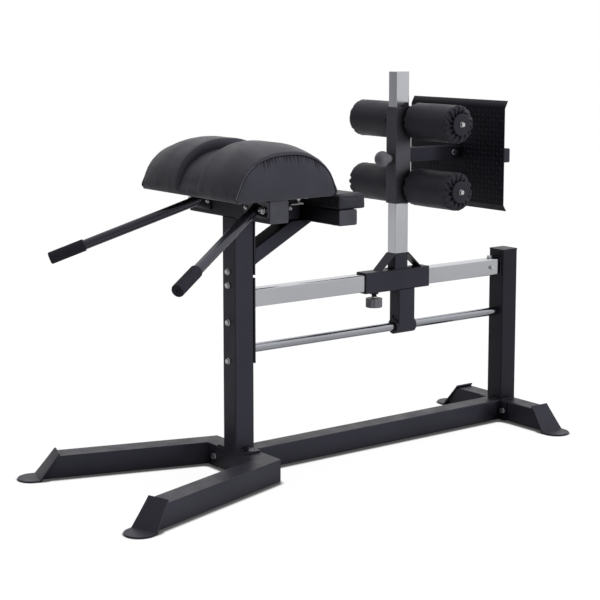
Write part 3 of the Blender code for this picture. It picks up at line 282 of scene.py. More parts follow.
def zinc(name, shade):
    s = Surface(name, (shade, shade, shade * 1.02), 0.30, metallic=1.0, cool=0.0)
    s.blotched(260.0, 0.16).worn(0.0005, (0.85, 0.85, 0.86), 0.8).softened(0.0004)
    s.relief(s.noise(900.0, 2.0), 0.00008, 0.4)
    return s.gloss(300.0, 0.10).done()


def vinyl(name, colour, specular, sheen, crease, grain=1.0):
    """Black leathercloth: pebbled grain, soft sheen, slow changes of tone and painted shade where it folds
    in.
    """
    s = Surface(name, colour, 0.47, specular=specular)
    s.shader.inputs["Sheen Weight"].default_value = sheen
    s.shader.inputs["Sheen Roughness"].default_value = 0.45
    # crease darkens the cover by ambient occlusion: painted shade in folds, pleats and nooks
    s.blotched(7.0, 0.14).painted_nook_shade(*crease)
    s.relief(s.noise(26.0, 3.0), 0.0016, 0.28)
    s.relief(s.cells(620.0), 0.0004 * grain, 0.55).relief(s.noise(1400.0, 2.0), 0.0002, 0.4)
    return s.gloss(11.0, 0.07).done()


def grip_rubber():
    """Foam rubber, matt and finely pored."""
    s = Surface("foam_rubber", (0.0105, 0.0102, 0.0140), 0.80, specular=0.22)
    s.blotched(30.0, 0.2).speckled(900.0, (0.006, 0.006, 0.007), 0.62, 0.74)
    s.relief(s.cells(1100.0), 0.0004, 0.7)
    return s.gloss(60.0, 0.08).done()


def plastic(name, colour):
    """Moulded plastic with a spark-eroded texture."""
    s = Surface(name, colour, 0.44, specular=0.24)
    s.blotched(25.0, 0.15).worn(0.0008, tuple(c * 3.2 for c in colour), 0.4).softened(0.0006)
    s.relief(s.noise(700.0, 3.0), 0.00015, 0.55)
    return s.gloss(50.0, 0.08).done()


def plywood():
    """Stained birch ply: dull plies, darker glue lines and grain along the board."""
    s = Surface("birch_ply", (0.15, 0.125, 0.10), 0.66, specular=0.2)
    grain = s.noise(30.0, 5.0, s.stretched((1.0, 0.12, 1.0)))
    s.tint = s.mixed(s.mapped(grain, 0.35, 0.65, 0.0, 1.0), (0.12, 0.10, 0.078), (0.19, 0.16, 0.128))
    wave = s.add("ShaderNodeTexWave", bands_direction="Z")
    wave.inputs["Scale"].default_value = 190.0
    wave.inputs["Distortion"].default_value = 0.6
    s.link(s.place, wave.inputs["Vector"])
    lines = s.mapped(wave.outputs["Fac"], 0.80, 0.95, 0.0, 0.7)
    s.tint = s.mixed(lines, s.tint, (0.05, 0.040, 0.030))
    s.relief(grain, 0.0003, 0.5)
    return s.gloss(60.0, 0.1).done()


def thread():
    # pale grey: partly the thread's own colour, partly a painted highlight for the light lines along the
    # seams
    s = Surface("thread_and_seam_highlight", (0.075, 0.074, 0.082), 0.62, specular=0.3)
    s.blotched(300.0, 0.25).relief(s.noise(2500.0, 2.0), 0.0002, 0.8)
    return s.gloss(400.0, 0.1).done()


PAINT = frame_paint("charcoal_powder_coat", (0.0175, 0.0171, 0.0236))
# The frame coat at about three times its tone for the ankle sleeve: painted light
HOLDER_LIGHT_PAINT = frame_paint("holder_coat_painted_light", (0.056, 0.055, 0.064))
# The frame coat at half its tone for the rear post: painted shade
REAR_SHADE_PAINT = frame_paint("rear_coat_painted_shade", (0.0085, 0.0083, 0.0115))
# Copies of the coat with deep painted shade: near other parts within 0.24 m they darken towards 8 % and
# lose most reflection, standing in for the hip cushion's shadow
BEAM_SHADE_PAINT = frame_paint("beam_coat_painted_shade", (0.0165, 0.0161, 0.0224), (0.24, 0.08, 0.10, 1.0))
STRUT_SHADE_PAINT = frame_paint("strut_coat_painted_shade", (0.0182, 0.0178, 0.0245), (0.24, 0.08, 0.10, 0.88))
HANDLE_PAINT = frame_paint("handle_gloss_coat", (0.0085, 0.0083, 0.0120), (0.070, 0.15), 0.17, 0.62)
PLATE_PAINT = plate_paint()
WELD_PAINT = weld_paint()
CHROME_X = chrome("chrome_rail", (0.04, 1.0, 1.0))
# The chrome at a darker shade for the guide bar: painted shade that holds back its reflection of the bright
# room
CHROME_BAR_SHADED = chrome("bar_chrome_painted_shade", (0.02, 2.2, 2.2), 0.33)
CHROME_Z = chrome("chrome_upright", (1.0, 1.0, 0.04))
ZINC = zinc("zinc_plate", 0.56)
ZINC_DULL = zinc("zinc_clip", 0.22)
VINYL = vinyl("black_leathercloth", (0.0200, 0.0197, 0.0258), 0.27, 0.05, (0.075, 0.12))
# The leathercloth with deep painted shade, as on the beam: the knee cushion's front reads as lying in the
# hip cushion's shadow
KNEE_SHADE_VINYL = vinyl("knee_leathercloth_painted_shade", (0.0165, 0.0162, 0.0214), 0.24, 0.01, (0.24, 0.08, 0.10, 1.0))
ROLLER_VINYL = vinyl("black_roller_cover", (0.0150, 0.0148, 0.0195), 0.20, 0.01, (0.014, 0.55), 0.8)
RUBBER = grip_rubber()
PLASTIC = plastic("black_plastic", (0.0098, 0.0096, 0.0132))
KNOB_PLASTIC = plastic("knob_plastic", (0.095, 0.094, 0.105))
LINER = plastic("nylon_liner", (0.012, 0.012, 0.014))
# Near-black with almost no reflection: painted shade for the inside of a hole
HOLE_SHADE = Surface("hole_painted_shade", (0.0006, 0.0006, 0.0010), 0.85, specular=0.02).blotched(90.0, 0.3).done()
CAP_PLASTIC = plastic("end_cap_plastic", (0.034, 0.0335, 0.041))
PLY = plywood()
THREAD_AND_HIGHLIGHT = thread()

SLOT_MATERIALS = {
    "frame_paint": PAINT,
    "chrome": CHROME_X,
    "zinc": ZINC,
    "vinyl": VINYL,
    "plywood": PLY,
    "grip_rubber": RUBBER,
    "plastic": PLASTIC,
    "liner": LINER,
}
NODE_MATERIALS = {
    "guide_bar": CHROME_BAR_SHADED,
    "upright": CHROME_Z,
    "foot_plate": PLATE_PAINT,
    "ankle_sleeve": HOLDER_LIGHT_PAINT,
    "rear_post": REAR_SHADE_PAINT,
    "rear_beam": BEAM_SHADE_PAINT,
    "seat_strut": STRUT_SHADE_PAINT,
    "handle_left": HANDLE_PAINT,
    "handle_right": HANDLE_PAINT,
    "clamp_knob": KNOB_PLASTIC,
    "ball_knob": KNOB_PLASTIC,
}


# ---------------------------------------------------------------- CAD nodes


def smoothing_nodes():
    """Joins a node's loose triangles and shades its curved faces smooth, leaving its shape alone."""
    tree = bpy.data.node_groups.new("smooth_by_angle", "GeometryNodeTree")
    tree.interface.new_socket("Geometry", in_out="INPUT", socket_type="NodeSocketGeometry")
    tree.interface.new_socket("Geometry", in_out="OUTPUT", socket_type="NodeSocketGeometry")
    add, join = tree.nodes.new, tree.links.new
    start, end = add("NodeGroupInput"), add("NodeGroupOutput")
    merge = add("GeometryNodeMergeByDistance")
    merge.inputs["Distance"].default_value = 0.00002
    drop = add("GeometryNodeRemoveAttribute")
    drop.inputs["Name"].default_value = "custom_normal"
    faces, edges = add("GeometryNodeSetShadeSmooth"), add("GeometryNodeSetShadeSmooth")
    faces.domain, edges.domain = "FACE", "EDGE"
    faces.inputs["Shade Smooth"].default_value = True
    edges.inputs["Shade Smooth"].default_value = False
    angle = add("GeometryNodeInputMeshEdgeAngle")
    steep = add("FunctionNodeCompare")
    steep.data_type, steep.operation = "FLOAT", "GREATER_THAN"
    steep.inputs["B"].default_value = math.radians(SHARP_ANGLE)
    join(angle.outputs["Unsigned Angle"], steep.inputs["A"])
    join(steep.outputs["Result"], edges.inputs["Selection"])
    chain = [start, merge, drop, faces, edges, end]
    for first, second in zip(chain, chain[1:]):
        join(first.outputs[0], second.inputs[0])
    return tree


def dress_nodes():
    tree = smoothing_nodes()
    for name, obj in NODES.items():
        for slot in obj.material_slots:
            slot.material = NODE_MATERIALS.get(name) or SLOT_MATERIALS[slot.material.name.split(".")[0]]
        obj.modifiers.new("smooth", "NODES").node_group = tree
        level = obj.modifiers.new("flat_faces", "WEIGHTED_NORMAL")
        level.mode, level.keep_sharp = "FACE_AREA", True


# ---------------------------------------------------------------- mesh helpers


def post(x, y, z):
    """A point whose x is counted from the front face of the front post."""
    return Vector((x + POST_X, y, z))


def add_object(name, data):
    obj = bpy.data.objects.new(name, data)
    bpy.context.scene.collection.objects.link(obj)
    return obj


def meshed(name, made):
    """A mesh of what the bmesh made holds, which is freed."""
    mesh = bpy.data.meshes.new(name)
    made.to_mesh(mesh)
    made.free()
    return mesh


def clad(obj, material, smooth_shade=True):
    """Gives obj its one material and its shading."""
    obj.data.materials.clear()
    obj.data.materials.append(material)
    for polygon in obj.data.polygons:
        polygon.use_smooth = smooth_shade


def piece(name, verts, faces, material, body, smooth_shade=True):
    mesh = bpy.data.meshes.new(name)
    mesh.from_pydata([tuple(v) for v in verts], [], faces)
    made = bmesh.new()
    made.from_mesh(mesh)
    bmesh.ops.remove_doubles(made, verts=made.verts, dist=1e-6)
    bmesh.ops.recalc_face_normals(made, faces=made.faces)
    made.to_mesh(mesh)
    made.free()
    obj = add_object(name, mesh)
    clad(obj, material, smooth_shade)
    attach(obj, body)
    return obj


def smooth(value):
    value = min(max(value, 0.0), 1.0)
    return value * value * (3 - 2 * value)


def around(count):
    """Turns of even spacing round a circle."""
    return [2 * math.pi * k / count for k in range(count)]


def grid_faces(rows, columns, closed=False):
    """Quads between rows of columns points each."""
    faces = []
    for i in range(rows - 1):
        for j in range(columns if closed else columns - 1):
            a, b = i * columns + j, i * columns + (j + 1) % columns
            faces.append((a, b, b + columns, a + columns))
    return faces


def tube_faces(rows, columns):
    """Quads round rows of columns points each, and a face over either end."""
    last = (rows - 1) * columns
    return grid_faces(rows, columns, True) + [tuple(range(columns)), tuple(range(last, last + columns))]


def frame_of(direction):
    direction = Vector(direction).normalized()
    aside = direction.orthogonal().normalized()
    return aside, direction.cross(aside), direction


class Build:
    """Points and faces of one piece, gathered from several shapes."""

    def __init__(self):
        self.verts, self.faces = [], []

    def take(self, verts, faces):
        base = len(self.verts)
        self.verts += [Vector(v) for v in verts]
        self.faces += [tuple(i + base for i in face) for face in faces]

    def sweep(self, points, radius, sides=8):
        """A round tube along points. radius is a number, or one for each point."""
        points = [Vector(p) for p in points]
        last = len(points) - 1
        radii = radius if isinstance(radius, list) else [radius] * len(points)
        verts, aside = [], None
        for i, point in enumerate(points):
            along = (points[min(i + 1, last)] - points[max(i - 1, 0)]).normalized()
            if aside is None:
                aside = along.orthogonal().normalized()
            aside = (aside - along * aside.dot(along)).normalized()
            across = along.cross(aside)
            for turn in around(sides):
                verts.append(point + (aside * math.cos(turn) + across * math.sin(turn)) * radii[i])
        self.take(verts, tube_faces(len(points), sides))

    def lathe(self, origin, axis, profile, sides):
        """Rings of (radius, height) round an axis, closed at both ends."""
        aside, across, along = frame_of(axis)
        origin = Vector(origin)
        verts = []
        for radius, height in profile:
            for turn in around(sides):
                ray = aside * math.cos(turn) + across * math.sin(turn)
                verts.append(origin + ray * radius + along * height)
        self.take(verts, tube_faces(len(profile), sides))

    def slab(self, base, u, v, rise, corner, rim=0.0007):
        """A plate with rounded corners: half sizes u and v, rising from base, its outer rim eased."""
        base, u, v, rise = Vector(base), Vector(u), Vector(v), Vector(rise)
        outline = []
        for cx, cy, start in ((1, 1, 0), (-1, 1, 90), (-1, -1, 180), (1, -1, 270)):
            for k in range(6):
                angle = math.radians(start + 18 * k)
                a = cx * (u.length - corner) + corner * math.cos(angle)
                b = cy * (v.length - corner) + corner * math.sin(angle)
                outline.append((a, b))
        verts, tall = [], rise.length
        for inset, level in ((0.0, 0.0), (0.0, tall - rim), (rim * 0.3, tall - rim * 0.3), (rim, tall)):
            for a, b in outline:
                a, b = a * (1 - inset / u.length), b * (1 - inset / v.length)
                verts.append(base + u.normalized() * a + v.normalized() * b + rise.normalized() * level)
        self.take(verts, tube_faces(4, len(outline)))

    def piece(self, name, material, body, slot, smooth_shade=True):
        return piece(name, self.verts, self.faces, material, body, smooth_shade)


def hexagon(turn):
    """The radius of a hexagon with flats at radius 1."""
    part = math.pi / 3
    return 1 / math.cos((turn % part) - part / 2)


def hex_head(build, seat, direction, width, height, washer=0.0105, stub=0.0):
    """A washer, a chamfered hexagon head and, for a nut, the end of its thread."""
    aside, across, along = frame_of(direction)
    seat = Vector(seat)
    rim = [(washer - 0.0008, 0), (washer, 0.0005), (washer, 0.0013), (washer - 0.0005, 0.0017)]
    build.lathe(seat, along, rim, 28)
    base = seat + along * 0.0016
    # (scale, height, widest reach) of the head's rings, from its foot over the chamfer to its dished top
    rings = [(1.0, 0.0, 2.0), (1.0, height - 0.0014, 1.10), (0.93, height, 1.0)]
    rings += [(0.62, height, 1.0), (0.56, height - 0.0005, 1.0)]
    verts = []
    for scale, level, widest in rings:
        for turn in around(24):
            reach = width / 2 * min(hexagon(turn), widest)
            ray = aside * math.cos(turn) + across * math.sin(turn)
            verts.append(base + ray * reach * scale + along * level)
    build.take(verts, tube_faces(len(rings), 24))
    if stub:
        threads = [(0.0047 if i % 2 else 0.0042, height - 0.0006 + stub * i / 8) for i in range(9)]
        build.lathe(base, along, threads + [(0.0034, height + stub)], 16)


# ---------------------------------------------------------------- hip cushion


def pad_drop(y):
    """How far the cushion's skin lies inside its fullest arch at this distance from its middle."""
    away = abs(y)
    rise = min(max((away - CHANNEL_HALF) / CHANNEL_SIDE, 0.0), 1.0)
    wall = 0.2 * smooth(rise) + 0.8 * (1 - (1 - rise) ** 3) ** 0.6
    channel = CHANNEL_DEPTH * (1 - wall)
    crown = 0.0022 * (1 - (away / CHANNEL_HALF) ** 2) if away < CHANNEL_HALF else 0.0
    crease = 0.0022 * math.exp(-((away - CHANNEL_HALF) / 0.0032) ** 2)
    edge = max(away - PAD_HALF_W + PAD_CROWN_RUN, 0) / PAD_CROWN_RUN
    return channel - crown + crease + PAD_END_DROP * edge**2


def wander(value, seed):
    """A smooth, repeatable wave between -1 and 1."""
    a = math.sin(value * 1.0 + seed * 1.7) + math.sin(value * 2.33 + seed * 4.1) * 0.6
    return (a + math.sin(value * 4.71 + seed * 2.9) * 0.35) / 1.95


def pad_tuck(z):
    """How far the arch's lower edge is drawn in at this height."""
    under = max(1 - z / PAD_TUCK_H, 0.0)
    return PAD_TUCK * (1 - math.sqrt(1 - under**2))


def pad_point(y, turn, inset=0.0):
    """A point of the cushion's arch at y, as x and z from the middle of its underside."""
    drop = pad_drop(y) + inset
    power = 2 / PAD_FULLNESS
    cosine, sine = math.cos(turn), max(math.sin(turn), 0.0)
    along = math.copysign(abs(cosine) ** power, cosine)
    height = sine**power
    fade = smooth(height * 3)
    chord = PAD_HALF_CHORD - pad_tuck(height * PAD_HEIGHT) - drop * fade * 0.35
    x, z = along * chord, height * (PAD_HEIGHT - drop)
    low = math.exp(-((z - 0.030) / 0.020) ** 2) * smooth(z / 0.012)
    pull = 0.0009 * low * wander(y * 95.0, 2.0 if x > 0 else 5.0)
    slack = 0.0007 * wander(turn * 7.0 + y * 9.0, 1.0) * smooth(z / 0.05)
    scale = 1 + (pull + slack) / 0.2
    return x * scale, z * (1 + slack / 0.2)


def arch_turns(count):
    """Turns of even spacing along the arch, from its rear edge to its front edge."""
    fine = 1200
    points = [pad_point(0.2, math.pi * i / fine) for i in range(fine + 1)]
    lengths = [0.0]
    for a, b in zip(points, points[1:]):
        lengths.append(lengths[-1] + math.dist(a, b))
    turns, k = [], 0
    for i in range(count + 1):
        goal = lengths[-1] * i / count
        while k < fine - 1 and lengths[k + 1] < goal:
            k += 1
        part = (goal - lengths[k]) / max(lengths[k + 1] - lengths[k], 1e-9)
        turns.append(math.pi * (k + min(part, 1.0)) / fine)
    return turns, lengths[-1]


def apply_modifiers(obj):
    bpy.context.view_layer.update()
    graph = bpy.context.evaluated_depsgraph_get()
    mesh = bpy.data.meshes.new_from_object(obj.evaluated_get(graph), depsgraph=graph)
    obj.modifiers.clear()
    old, obj.data = obj.data, mesh
    bpy.data.meshes.remove(old)


def upholster(obj, board, material, crease):
    """Cuts the room for its board out of a cushion's underside, and puts its cover on."""
    low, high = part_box(board)
    grow = Vector((BOARD_PLAY, BOARD_PLAY, BOARD_PLAY))
    low, high = low - grow - Vector((0, 0, 0.02)), high + grow
    made = bmesh.new()
    bmesh.ops.create_cube(made, size=1)
    for vertex in made.verts:
        vertex.co = [(low if vertex.co[axis] < 0 else high)[axis] for axis in range(3)]
    tool = add_object("pocket", meshed("pocket", made))
    modifier = obj.modifiers.new("pocket", "BOOLEAN")
    modifier.operation, modifier.object, modifier.solver = "DIFFERENCE", tool, "EXACT"
    apply_modifiers(obj)
    bpy.data.objects.remove(tool)
    clad(obj, material)
    sharpen(obj, crease)


def hip_stations():
    """Distances from the middle at which the cushion has a row of points."""
    half = [CHANNEL_HALF * i / 8 for i in range(1, 7)]
    half += [CHANNEL_HALF + 0.002 * i for i in range(-3, 4)]
    half += [CHANNEL_HALF + 0.006 + 0.018 * i / 6 for i in range(1, 7)]
    start = CHANNEL_HALF + CHANNEL_SIDE
    half += [start + (PAD_HALF_W - PAD_SHOULDER - start) * i / 20 for i in range(1, 21)]
    return [-y for y in reversed(half)] + [0.0] + half


def arch_point(y, turn, bottom, inset=0.0):
    """A point of the cushion's arch, in its place on the machine."""
    x, z = pad_point(y, turn, inset)
    return post(PAD_CENTRE_X + x, y, bottom + z)


def panel_point(top, level, side, travelled, length, bottom):
    """A point of an end panel, at this share of the way down from the rim's point at top."""
    middle = post(PAD_CENTRE_X, 0, 0).x
    height = top.z - bottom
    depth, z = level * height, bottom + height * (1 - level)
    away = abs(top.x - middle) / PAD_HALF_CHORD
    belly = 0.0065 * math.sin(math.pi * level**0.7) * smooth((1 - away) * 4)
    seam = -0.0044 * math.exp(-depth / 0.0045)
    rough = wander(travelled * 60, side + 3)
    reach = 0.019 + 0.011 * rough
    share = travelled / length
    gather = math.exp(-((depth - 0.006) / reach) ** 2) * smooth(depth / 0.003)
    gather *= smooth((share - 0.20) / 0.12) * smooth((0.76 - share) / 0.10)
    wave = math.pi * travelled / GATHER_PITCH + 1.5 * wander(travelled * 40, side)
    fold = abs(math.sin(wave)) ** 0.7
    under = max(1 - (height - depth) / 0.014, 0.0)
    roll = 0.007 * (1 - math.sqrt(1 - under**2))
    y = PAD_HALF_W + belly + seam - roll - 0.0062 * gather * (1 - fold) * (0.7 + 0.3 * rough)
    drawn = (PAD_HALF_CHORD - pad_tuck(z - bottom)) / (PAD_HALF_CHORD - pad_tuck(height))
    return Vector((middle + (top.x - middle) * drawn * (1 - 0.006 * level), side * y, z))


# how far down an end panel its rows of points lie, as shares of its height
PANEL_LEVELS = (0.012, 0.024, 0.038, 0.055, 0.075, 0.10, 0.13, 0.165, 0.20, 0.24, 0.30, 0.38, 0.47)
PANEL_LEVELS += (0.57, 0.68, 0.79, 0.86, 0.91, 0.945, 0.97, 0.988, 1.0)


def hip_skin(turns, length, bottom):
    """The hip cushion's points and faces, open underneath, and the rims of its two ends."""
    count, stations = len(turns), hip_stations()
    verts = [arch_point(y, turn, bottom) for y in stations for turn in turns]
    faces = grid_faces(len(stations), count)
    ways = [length * j / (count - 1) for j in range(count)]

    def add_row(before, points):
        row = list(range(len(verts), len(verts) + count))
        verts.extend(points)
        faces.extend((before[j], before[j + 1], row[j + 1], row[j]) for j in range(count - 1))
        return row

    rims = {}
    for side in (-1, 1):
        start = 0 if side < 0 else (len(stations) - 1) * count
        row = list(range(start, start + count))
        # the rounded shoulder between the last station and the end panel
        for step in range(1, 5):
            angle = math.pi / 2 * step / 4
            y = PAD_HALF_W - PAD_SHOULDER + PAD_SHOULDER * math.sin(angle)
            inset = PAD_SHOULDER * (1 - math.cos(angle))
            row = add_row(row, [arch_point(side * y, turn, bottom, inset) for turn in turns])
        rim = rims[side] = [verts[i].copy() for i in row]
        for level in PANEL_LEVELS:
            below = [panel_point(p, level, side, way, length, bottom) for p, way in zip(rim, ways)]
            row = add_row(row, below)
    return verts, faces, rims


def make_hip_cushion():
    """The arched cushion with its gathered ends, its piping, its stitching and a painted highlight along
    the lower end seams.
    """
    turns, length = arch_turns(380)
    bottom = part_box("hip_pad")[0].z
    verts, faces, rims = hip_skin(turns, length, bottom)
    made = bmesh.new()
    points = [made.verts.new(v) for v in verts]
    for face in faces:
        made.faces.new([points[i] for i in face])
    bmesh.ops.remove_doubles(made, verts=made.verts, dist=2e-5)
    # the underside
    bmesh.ops.holes_fill(made, edges=[e for e in made.edges if e.is_boundary], sides=0)
    bmesh.ops.recalc_face_normals(made, faces=made.faces)
    cushion = add_object("hip_cushion", meshed("hip_cushion", made))
    upholster(cushion, "hip_pad_board", VINYL, 50)
    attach(cushion, "frame")
    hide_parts("hip_pad")

    for side, word in SIDES:
        welt = Build()
        line = [p + Vector((0, side * 0.0004, 0)) for p in rims[side] if p.z > bottom + 0.010]
        welt.sweep(line, 0.0023, 10)
        welt.piece("hip_piping_" + word, VINYL, "frame", "vinyl")

    # a pale strand on the lower part of each end seam: edge stitching, and a painted highlight along the
    # seam
    threads = Build()
    for side, _ in SIDES:
        for way in (-1, 1):
            line = []
            for p in rims[side]:
                away = (p.x - post(PAD_CENTRE_X, 0, 0).x) * way
                if away > 0 and 0.012 < p.z - bottom < 0.115:
                    outward = Vector((way, 0, 0.45)).normalized()
                    line.append(p + outward * 0.0014 + Vector((0, side * 0.0020, 0)))
            threads.sweep(line, 0.00085, 6)
    threads.piece("hip_seam_thread_and_highlight", THREAD_AND_HIGHLIGHT, "frame", "vinyl")
    stitch_hip_cushion(length, bottom)


def stitch_hip_cushion(length, bottom):
    """Slanted stitches along both sides of the channel and beside both ends."""
    seams, rng, fine = Build(), random.Random(4), 900
    outer, inner = PAD_HALF_W - 0.0045, CHANNEL_HALF - 0.004
    for y in (-outer, -inner, inner, outer):
        line = [arch_point(y, math.pi * i / fine, bottom) for i in range(fine + 1)]
        travelled, next_start = 0.0, 0.02
        for a, b in zip(line, line[1:]):
            travelled += (b - a).length
            if not next_start <= travelled < length * 0.97:
                continue
            along = (b - a).normalized()
            outward = along.cross(Vector((0, 1, 0)))
            outward = -outward if outward.z < 0 else outward
            tilt = (along + Vector((0, 0.10 + 0.04 * rng.random(), 0))).normalized()
            points = []
            for t in (0, 0.25, 0.5, 0.75, 1):
                run, lift = tilt * STITCH_LENGTH * (t - 0.5), outward * 0.0005 * math.sin(math.pi * t)
                points.append(a + outward * 0.0001 + run + lift)
            seams.sweep(points, [0.0002, 0.0007, 0.0008, 0.0007, 0.0002], 6)
            next_start = travelled + STITCH_PITCH
    seams.piece("hip_stitching", THREAD_AND_HIGHLIGHT, "frame", "vinyl")


def sharpen(obj, degrees):
    """Keeps the edges steeper than this crisp under smooth shading."""
    made = bmesh.new()
    made.from_mesh(obj.data)
    limit = math.radians(degrees)
    for edge in made.edges:
        if len(edge.link_faces) == 2 and edge.calc_face_angle(0.0) > limit:
            edge.smooth = False
    made.to_mesh(obj.data)
    made.free()


# ---------------------------------------------------------------- knee cushion


def make_knee_cushion():
    """The boxed cushion on the rear beam, blown up a little by a cloth simulation."""
    low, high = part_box("knee_pad")
    size, middle = high - low, (low + high) / 2
    made = bmesh.new()
    bmesh.ops.create_cube(made, size=1)
    bmesh.ops.scale(made, vec=(size.x - 0.003, size.y - 0.003, size.z - 0.001), verts=made.verts)
    bmesh.ops.translate(made, vec=middle - Vector((0, 0, 0.0005)), verts=made.verts)
    bmesh.ops.bevel(made, geom=made.edges[:], offset=0.0055, segments=4, profile=0.5, affect="EDGES")
    cushion = add_object("knee_cushion", meshed("knee_cushion", made))
    remesh = cushion.modifiers.new("remesh", "REMESH")
    remesh.mode, remesh.voxel_size = "VOXEL", 0.0040
    apply_modifiers(cushion)
    rest = [v.co.copy() for v in cushion.data.vertices]
    held = cushion.vertex_groups.new(name="held")
    held.add([i for i, p in enumerate(rest) if p.z < low.z + 0.004], 1.0, "REPLACE")
    inflate(cushion, rest)
    # a sewn seam all round under the top, rucks beneath it and corners drawn down
    seam_z = high.z - 0.013
    for vertex in cushion.data.vertices:
        p = vertex.co
        outward = Vector(((p.x - middle.x) / (size.x / 2), (p.y - middle.y) / (size.y / 2), 0))
        if max(abs(outward.x), abs(outward.y)) > 0.86:
            groove = 0.0016 * math.exp(-((p.z - seam_z) / 0.0022) ** 2)
            fade = math.exp(-((p.z - seam_z + 0.008) / 0.009) ** 2)
            ruck = 0.0007 * wander(p.x * 160 + p.y * 120, 3.0) * fade
            edge_x, edge_y = (size.x / 2 - abs(p.x - middle.x)), (size.y / 2 - abs(p.y - middle.y))
            axis = 0 if edge_x < edge_y else 1
            p[axis] -= math.copysign(groove + ruck, outward[axis])
        corner = smooth((abs(outward.x) - 0.55) / 0.45) * smooth((abs(outward.y) - 0.82) / 0.18)
        if p.z > seam_z:
            p.z -= 0.0012 * corner
        p.z = max(p.z, low.z)
    fine = cushion.modifiers.new("fine", "SUBSURF")
    fine.levels = fine.render_levels = 1
    apply_modifiers(cushion)
    for vertex in cushion.data.vertices:
        vertex.co.z = max(vertex.co.z, low.z)
    upholster(cushion, "knee_pad_board", KNEE_SHADE_VINYL, 60)
    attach(cushion, "frame")
    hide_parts("knee_pad")


def inflate(obj, rest):
    """Runs a short cloth simulation on obj, whose held points stay, and keeps what it moved in the mesh."""
    cloth = obj.modifiers.new("cloth", "CLOTH")
    cloth.settings.use_pressure = True
    cloth.settings.uniform_pressure_force = PUFF_PRESSURE
    cloth.settings.effector_weights.gravity = 0
    cloth.settings.vertex_group_mass = "held"
    scene = bpy.context.scene
    for number in range(1, 21):
        scene.frame_set(number)
    bpy.context.view_layer.update()
    graph = bpy.context.evaluated_depsgraph_get()
    shaped = [v.co.copy() for v in obj.evaluated_get(graph).data.vertices]
    obj.modifiers.remove(cloth)
    scene.frame_set(1)
    for vertex, before, after in zip(obj.data.vertices, rest, shaped):
        step = after - before
        if step.length > PUFF_LIMIT:
            step *= PUFF_LIMIT / step.length
        vertex.co = before + step


# ---------------------------------------------------------------- rollers


